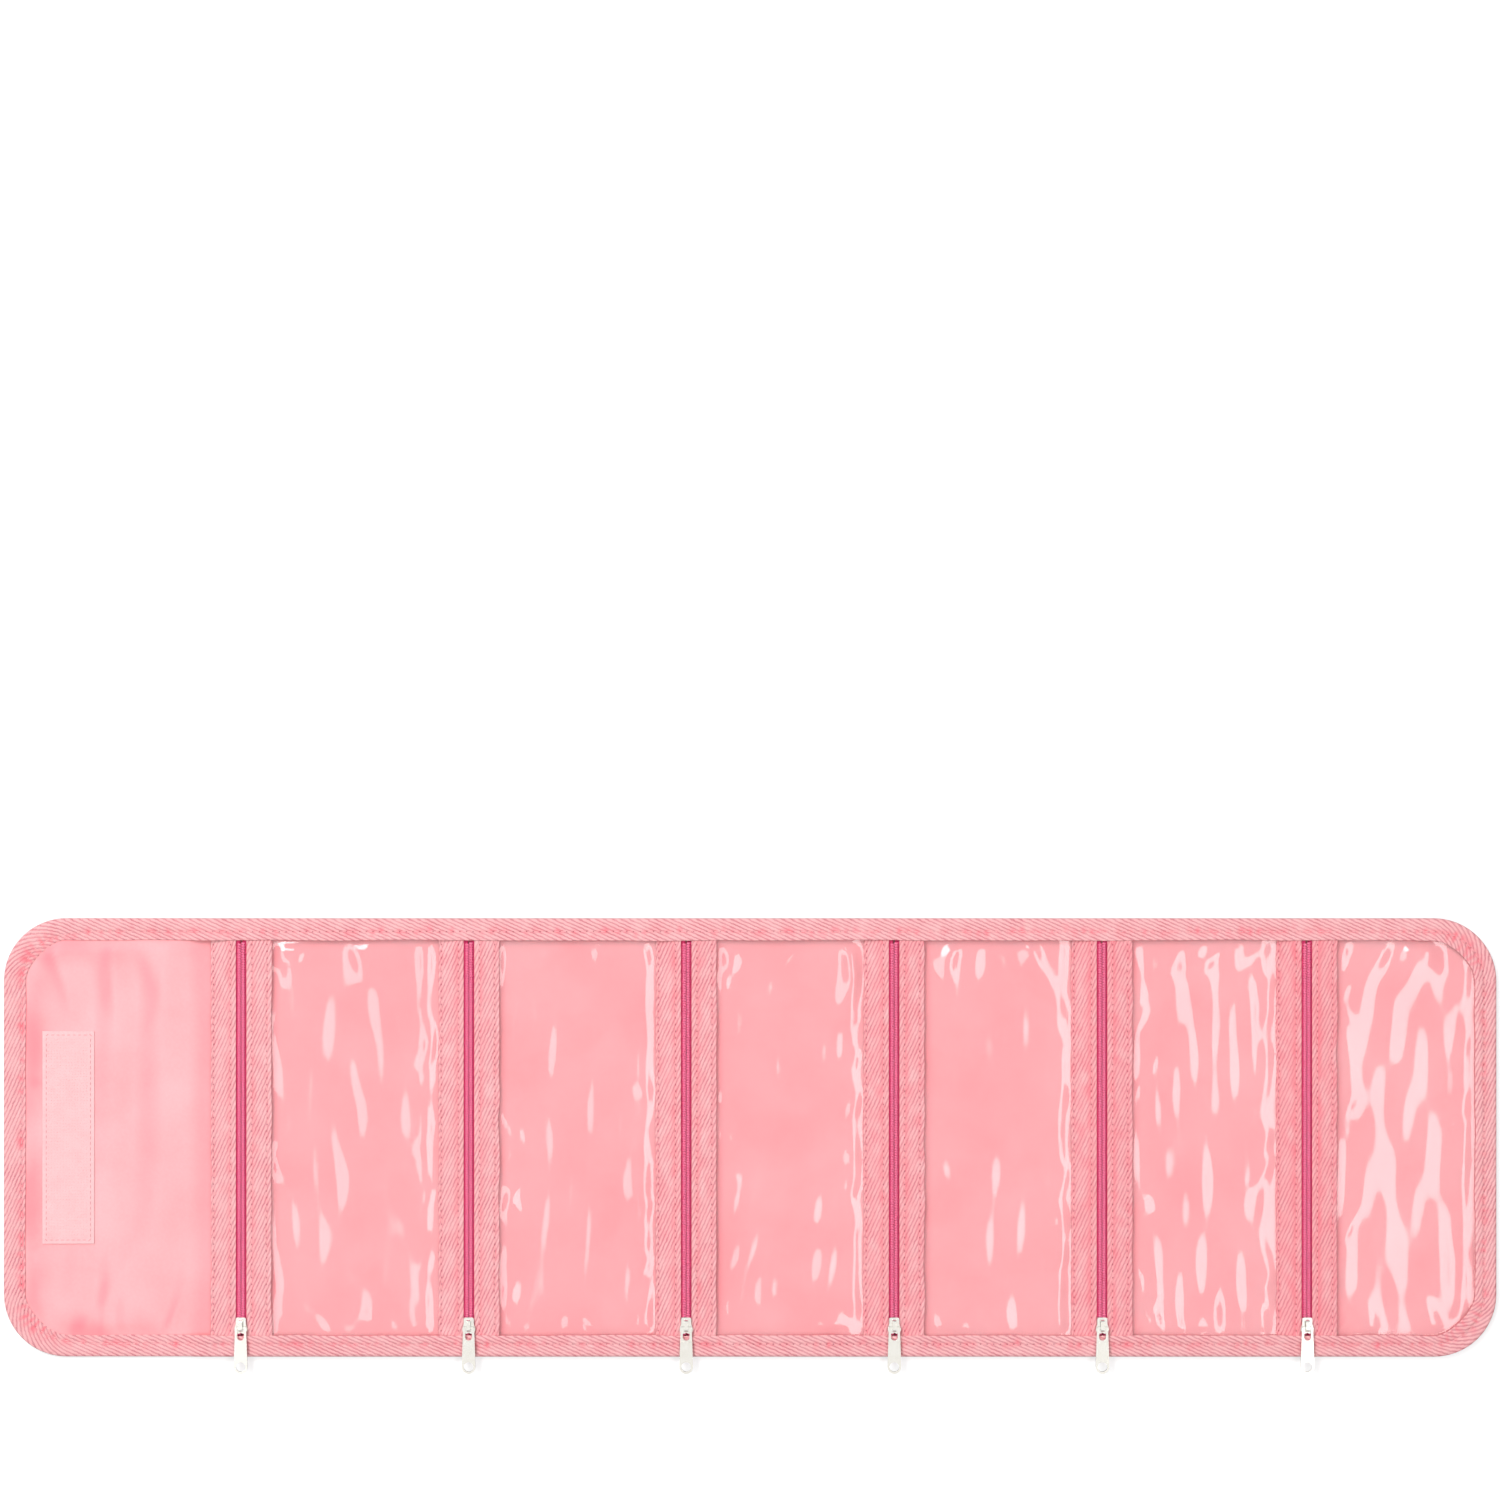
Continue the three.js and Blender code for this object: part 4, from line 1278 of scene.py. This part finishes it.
def stitchTree():
    # one short stitch, round and tapered to its ends, at every pitch along the lines
    tree, given = newTree("stitches along a seam", {
        "Seams": "NodeSocketGeometry", "Pitch": "NodeSocketFloat", "Length": "NodeSocketFloat",
        "Thickness": "NodeSocketFloat", "Wander": "NodeSocketFloat", "Seed": "NodeSocketInt",
        "Thread": "NodeSocketMaterial"}, "Stitches")
    even = addNode(tree, "GeometryNodeResampleCurve", {"mode": "LENGTH"}, {
        "Curve": given["Seams"], "Length": given["Pitch"]})
    tangent = addNode(tree, "GeometryNodeInputTangent")
    turn = addNode(tree, "FunctionNodeAlignRotationToVector", {"axis": "X"}, {"Vector": tangent})
    tilt = addNode(tree, "ShaderNodeCombineXYZ", {}, {"Z": spread(tree, given["Wander"], given["Seed"])})
    spin = addNode(tree, "FunctionNodeEulerToRotation", {}, {0: tilt})
    turned = addNode(tree, "FunctionNodeRotateRotation", {"rotation_space": "LOCAL"}, {
        "Rotation": turn, "Rotate By": spin})
    ball = addNode(tree, "GeometryNodeMeshUVSphere", {"Segments": 6, "Rings": 3, "Radius": 0.5})
    lying = addNode(tree, "GeometryNodeTransform", {"Rotation": (0, math.pi / 2, 0)}, {
        "Geometry": ball.outputs["Mesh"]})
    size = addNode(tree, "ShaderNodeCombineXYZ", {}, {
        "X": given["Length"], "Y": given["Thickness"], "Z": given["Thickness"]})
    stitch = addNode(tree, "GeometryNodeTransform", {}, {"Geometry": lying, "Scale": size})
    placed = addNode(tree, "GeometryNodeInstanceOnPoints", {}, {
        "Points": even, "Instance": stitch, "Rotation": turned})
    endTree(tree, placed, given["Thread"])
    return tree


stitchesAlong = stitchTree()


def makeStitches(name, lines, pitch, thickness, thread, closed=False, gap=seams["gap"]):
    length = pitch - gap
    obj = runTree(name, lineObject(lines, closed), stitchesAlong, {
        "Pitch": pitch * seams["pitchShare"] * mm, "Length": length * mm, "Thickness": thickness * mm,
        "Wander": seams["wander"], "Seed": 4, "Thread": thread})
    return finishPiece(obj, None)


def stripSeamLines():
    low, thickness = cloth["strip"]
    ys = np.linspace(-seams["stripSeamHalf"], seams["stripSeamHalf"], seams["stripPlaces"])
    lines = []
    for n in range(6):
        for side in (-1, 1):
            for place in stripSeams(n, side):
                x = np.full_like(ys, place)
                z = low + thickness + pocketLift(x, ys) - seams["sunk"]
                lines.append(np.stack([x + stripShift(x, ys, n, side), ys, z], -1))
    return lines


def bindingSeamLine(onTop):
    if onTop:
        height = bindingTop(seamIn(edgePoints[:, 0]))[0] + seams["overBinding"]
    else:
        height = np.full_like(edgeTravelled, seams["underBinding"])
    return [np.concatenate([seamPoints, height[:, None]], 1)]


def closureSeamLine(node, height):
    low, high = boxOf(node)
    inset = closure["seamInset"]
    (x0, y0), (x1, y1) = low[:2] + inset, high[:2] - inset
    return [np.array([(x0, y0, height), (x1, y0, height), (x1, y1, height), (x0, y1, height)])]


makeStitches("strip_stitches", stripSeamLines(), stripPitch, seams["thickness"], pinkThread)
for name, onTop in (("top", True), ("under", False)):
    makeStitches(f"binding_stitches_{name}", bindingSeamLine(onTop), bindingPitch,
                 seams["thickness" if onTop else "underThickness"], pinkThread, True)
hookGround = boxOf("hook_tape")[0][2] + closure["ground"]
loopGround = boxOf("loop_tape")[1][2] - closure["ground"]
for node, ground in (("hook_tape", hookGround), ("loop_tape", loopGround)):
    line = closureSeamLine(node, ground + closure["threadOver"][node])
    makeStitches(f"{node}_stitches", line, closure["stitch"], closure["stitchThickness"][node], closureThread,
                 True)
print("stitches made")


# Zip teeth: each is a bent loop of filament, and sewing thread holds them to the tape

teeth = {
    "pitch": 1.2,
    "bareEnd": 0.6,
    "sewingIn": 1.22,
    "sewingHeight": 1.36,
    "sewingThickness": 0.44,
    "sewingGap": 0.16,
}
toothShape = [            # from the middle out, height over the tape, half width, half thickness
    (1.40, 0.26, 0.24, 0.22), (1.68, 0.52, 0.42, 0.22), (1.62, 0.95, 0.50, 0.20), (1.22, 1.18, 0.52, 0.18),
    (0.54, 1.20, 0.58, 0.18), (0.20, 1.10, 0.59, 0.17), (0.20, 0.66, 0.52, 0.20), (0.66, 0.34, 0.30, 0.22),
]


def toothTree():
    tree, given = newTree("row of zip teeth", {
        "Row": "NodeSocketGeometry", "Pitch": "NodeSocketFloat", "Tooth": "NodeSocketObject",
        "Filament": "NodeSocketMaterial"}, "Teeth")
    even = addNode(tree, "GeometryNodeResampleCurve", {"mode": "LENGTH"}, {
        "Curve": given["Row"], "Length": given["Pitch"]})
    tooth = addNode(tree, "GeometryNodeObjectInfo", {}, {"Object": given["Tooth"]})
    placed = addNode(tree, "GeometryNodeInstanceOnPoints", {}, {
        "Points": even, "Instance": tooth.outputs["Geometry"]})
    endTree(tree, placed, given["Filament"])
    return tree


rowOfTeeth = toothTree()


def makeTeeth(n):
    low, high = boxOf(f"zip{n + 1}_coil_left")
    base, first = low[2], low[1] + teeth["bareEnd"]
    count = int((high[1] - 2 * teeth["bareEnd"] - first) / teeth["pitch"])
    last = first + count * teeth["pitch"]
    for side, sideName in ((-1, "left"), (1, "right")):
        offset = teeth["pitch"] / 2 if side > 0 else 0
        tooth = bentWire("tooth", [(side * x, z, wide, thick) for x, z, wide, thick in toothShape], 5)
        ends = [(zipPlaces[n], place + offset, base) for place in (first, last)]
        row = lineObject([ends])
        obj = runTree(f"zip{n + 1}_teeth_{sideName}", row, rowOfTeeth, {
            "Pitch": teeth["pitch"] * seams["pitchShare"] * mm, "Tooth": tooth, "Filament": nylonCoil})
        bpy.data.objects.remove(tooth)
        finishPiece(obj, None, [f"zip{n + 1}_coil_{sideName}"])
    lines = []
    for side in (-1, 1):
        x, z = zipPlaces[n] + side * teeth["sewingIn"], base + teeth["sewingHeight"]
        offset = teeth["pitch"] / 2 if side < 0 else 0
        lines.append([(x, first + offset, z), (x, last + offset, z)])
    makeStitches(f"zip{n + 1}_sewing", lines, teeth["pitch"], teeth["sewingThickness"], deepThread,
                 gap=teeth["sewingGap"])


for n in range(6):
    makeTeeth(n)
print("zip teeth made")


# Hooks and loops

def fieldTree():
    # one instance at every point of a grid, each moved and turned a little
    tree, given = newTree("field of hooks", {
        "Points": "NodeSocketGeometry", "Item": "NodeSocketObject", "Jitter": "NodeSocketFloat",
        "Turn": "NodeSocketFloat", "Seed": "NodeSocketInt", "Yarn": "NodeSocketMaterial"}, "Field")
    moveX = spread(tree, given["Jitter"], given["Seed"])
    moveY = spread(tree, given["Jitter"], reckon(tree, "ADD", given["Seed"], 1.0))
    turn = spread(tree, given["Turn"], reckon(tree, "ADD", given["Seed"], 2.0))
    offset = addNode(tree, "ShaderNodeCombineXYZ", {}, {"X": moveX, "Y": moveY})
    spin = addNode(tree, "ShaderNodeCombineXYZ", {}, {"Z": turn})
    rotation = addNode(tree, "FunctionNodeEulerToRotation", {}, {0: spin})
    moved = addNode(tree, "GeometryNodeSetPosition", {}, {"Geometry": given["Points"], "Offset": offset})
    item = addNode(tree, "GeometryNodeObjectInfo", {}, {"Object": given["Item"]})
    placed = addNode(tree, "GeometryNodeInstanceOnPoints", {}, {
        "Points": moved, "Instance": item.outputs["Geometry"], "Rotation": rotation})
    endTree(tree, placed, given["Yarn"])
    return tree


fieldOf = fieldTree()


def makeField(name, node, item, height, turn, seed):
    low, high = boxOf(node)
    bare, pitch = closure["bareEdge"], closure["yarnPitch"]
    xs = np.arange(low[0] + bare, high[0] - bare + 0.01, pitch)
    ys = np.arange(low[1] + bare, high[1] - bare + 0.01, pitch)
    x, y = np.meshgrid(xs, ys)
    points = np.stack([x, y, np.full_like(x, height)], -1).reshape(-1, 3)
    mesh = bpy.data.meshes.new("points")
    mesh.from_pydata(inFrame(points).tolist(), [], [])
    obj = runTree(name, linkObject("points", mesh), fieldOf, {
        "Item": item, "Jitter": closure["yarnWander"] * pitch * mm, "Turn": turn, "Seed": seed,
        "Yarn": closureYarn})
    bpy.data.objects.remove(item)
    finishPiece(obj, None)


hookShape = [             # place along and height over the ground, half width, half thickness
    (-0.28, -0.05, 0.1, 0.1), (-0.3, 0.22, 0.1, 0.1), (-0.1, 0.36, 0.1, 0.1), (0.16, 0.34, 0.1, 0.09),
    (0.26, 0.18, 0.08, 0.07),
]
loopShape = [
    (-0.42, 0.05, 0.12, 0.1), (-0.38, -0.07, 0.12, 0.06), (0.0, -0.1, 0.13, 0.05),
    (0.38, -0.07, 0.12, 0.06), (0.42, 0.05, 0.12, 0.1),
]
hook, loop = bentWire("hook", hookShape, 3), bentWire("loop", loopShape, 3)
loopHeight = loopGround + closure["threadOver"]["loop_tape"]
makeField("hook_tape_hooks", "hook_tape", hook, hookGround, turn=0.3, seed=5)
makeField("loop_tape_loops", "loop_tape", loop, loopHeight, turn=3.1, seed=9)
print("hooks and loops made")


# Sliders and pulls: the castings, with their edges softened as polishing leaves them

metal = {
    "sliderEdge": 0.26,     # how wide the softened edges are, mm
    "pullEdge": 0.34,
    "wedge": 0.26,          # half the width that is narrowed
    "wedgeShare": 0.5,
    "wedgeUnder": 0.5,      # from the tape's underside up
    "wedgeOver": 0.4,       # to past the teeth
    "edgeAngle": 28,
}


def softenCasting(node, name, width, body, narrowWedge=False):
    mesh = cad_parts[node].data.copy()
    cleaned = bmesh.new()
    cleaned.from_mesh(mesh)
    bmesh.ops.remove_doubles(cleaned, verts=cleaned.verts, dist=1e-6)
    if narrowWedge:
        # the wedge runs between the heads of the teeth, which reach nearer the middle than plain rows do
        middle = sum(corner[0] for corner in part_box(node)) / 2
        low = cloth["zipTape"][0] + metal["wedgeUnder"]
        high = sum(cloth["coil"]) + cloth["pocketDepth"] + metal["wedgeOver"]
        for vertex in cleaned.verts:
            inMiddle = abs(vertex.co.x - middle) < metal["wedge"] * mm
            if inMiddle and low * mm < vertex.co.z < high * mm:
                vertex.co.x = middle + (vertex.co.x - middle) * metal["wedgeShare"]
    bmesh.ops.dissolve_limit(cleaned, angle_limit=math.radians(1), verts=cleaned.verts, edges=cleaned.edges)
    cleaned.to_mesh(mesh)
    cleaned.free()
    mesh.materials.clear()
    mesh.shade_smooth()
    obj = linkObject(name, mesh)
    bevel = obj.modifiers.new("soft edges", "BEVEL")
    bevel.width = width * mm
    bevel.segments = 2
    bevel.limit_method = "ANGLE"
    bevel.angle_limit = math.radians(metal["edgeAngle"])
    normals = obj.modifiers.new("even normals", "WEIGHTED_NORMAL")
    normals.keep_sharp = True
    return finishPiece(obj, nickelPlate, [node], body)


for n in range(1, 7):
    softenCasting(f"zip{n}_slider", f"slider_casting_{n}", metal["sliderEdge"], f"slider_{n}", True)
    softenCasting(f"zip{n}_pull", f"pull_casting_{n}", metal["pullEdge"], f"pull_{n}")
print("sliders and pulls made")


# Floor, light and camera

studio = {
    "floor": "#c4c4c4",
    "floorLift": 0.56,      # for the camera only, so that the floor shows white
    "sky": 0.33,
    "walls": 0.22,
    "wallRise": (0.3, 0.85),    # from the walls up to the ceiling, as shares of straight up
    "paperGrain": 40,
    "floorHalf": 4,         # m
    "floorDrop": 0.0003,
    "lens": 100,
    "sensor": 36,
    "frameWidth": 719.3,    # mm of the cloth's plane that the picture takes in
    "frameRise": 185.6,     # from the middle of the cloth to the middle of the picture
    "softboxes": {          # place, size and brightness of each
        "key": ((-1.3, 1.9, 2.6), (1.5, 1.5), 9.4),
        "left bank": ((-1.05, -0.15, 2.2), (1.9, 0.62), 3.3),
        "right bank": ((1.05, -0.15, 2.2), (1.9, 0.62), 4.3),
    },
}


def makeFloor():
    mesh = bpy.data.meshes.new("floor")
    signs = ((-1, -1), (1, -1), (1, 1), (-1, 1))
    corners = [(x * studio["floorHalf"], y * studio["floorHalf"], -studio["floorDrop"]) for x, y in signs]
    mesh.from_pydata(corners, [], [(0, 1, 2, 3)])
    floor = linkObject("floor", mesh)
    material, tree = startMaterial("floor paper")
    rough = ranged(tree, noise(tree, placeIn(tree), studio["paperGrain"], 2.0), to=(0.85, 0.95))
    paper = addNode(tree, "ShaderNodeBsdfPrincipled", {
        "Base Color": linear(studio["floor"]), "Specular IOR Level": 0.1}, {"Roughness": rough})
    seen = addNode(tree, "ShaderNodeLightPath").outputs["Is Camera Ray"]
    strength = reckon(tree, "MULTIPLY", seen, studio["floorLift"])
    glow = addNode(tree, "ShaderNodeEmission", {}, {"Strength": strength})
    both = addNode(tree, "ShaderNodeAddShader", {}, {0: paper, 1: glow})
    addNode(tree, "ShaderNodeOutputMaterial", {}, {"Surface": both})
    mesh.materials.append(material)


def makeSky():
    world = bpy.context.scene.world or bpy.data.worlds.new("studio")
    bpy.context.scene.world = world
    world.use_nodes = True
    tree = world.node_tree
    tree.nodes.clear()
    rays = addNode(tree, "ShaderNodeLightPath").outputs
    seen = reckon(tree, "MAXIMUM", rays["Is Camera Ray"], rays["Is Glossy Ray"])
    seen = reckon(tree, "MAXIMUM", seen, rays["Is Transmission Ray"])
    strength = ranged(tree, seen, to=(studio["sky"], 1.0))
    # what is shiny finds the walls of the room darker than its ceiling
    upwards = addNode(tree, "ShaderNodeTexCoord").outputs["Generated"]
    direction = addNode(tree, "ShaderNodeSeparateXYZ", {}, {0: upwards})
    height = ranged(tree, direction.outputs["Z"], to=(studio["walls"], 1.0), between=studio["wallRise"])
    tone = addNode(tree, "ShaderNodeMix", {"data_type": "FLOAT", "A": 1.0}, {
        "Factor": rays["Is Glossy Ray"], "B": height})
    whole = reckon(tree, "MULTIPLY", strength, socketOf(tone.outputs, "Result"))
    glow = addNode(tree, "ShaderNodeBackground", {"Color": (1, 1, 1, 1)}, {"Strength": whole})
    addNode(tree, "ShaderNodeOutputWorld", {}, {"Surface": glow})


def makeSoftbox(name, place, size, brightness):
    light = bpy.data.lights.new(name, "AREA")
    light.shape = "RECTANGLE"
    light.size, light.size_y = size
    light.energy = brightness * math.pi * size[0] * size[1]
    lamp = linkObject(name, light)
    lamp.location = place
    lamp.rotation_euler = (-Vector(place)).to_track_quat("-Z", "Y").to_euler()


def makeCamera():
    data = bpy.data.cameras.new("camera")
    data.lens = studio["lens"]
    data.sensor_width = studio["sensor"]
    data.clip_start = 0.01
    data.clip_end = 50
    camera = linkObject("camera", data)
    distance = studio["frameWidth"] * mm * studio["lens"] / studio["sensor"]
    camera.location = (0, (clothShift + studio["frameRise"]) * mm, distance)
    bpy.context.scene.camera = camera


makeFloor()
makeSky()
for name, (place, size, brightness) in studio["softboxes"].items():
    makeSoftbox(name, place, size, brightness)
makeCamera()
bpy.context.scene.view_settings.view_transform = "Standard"
print("floor, light and camera made")
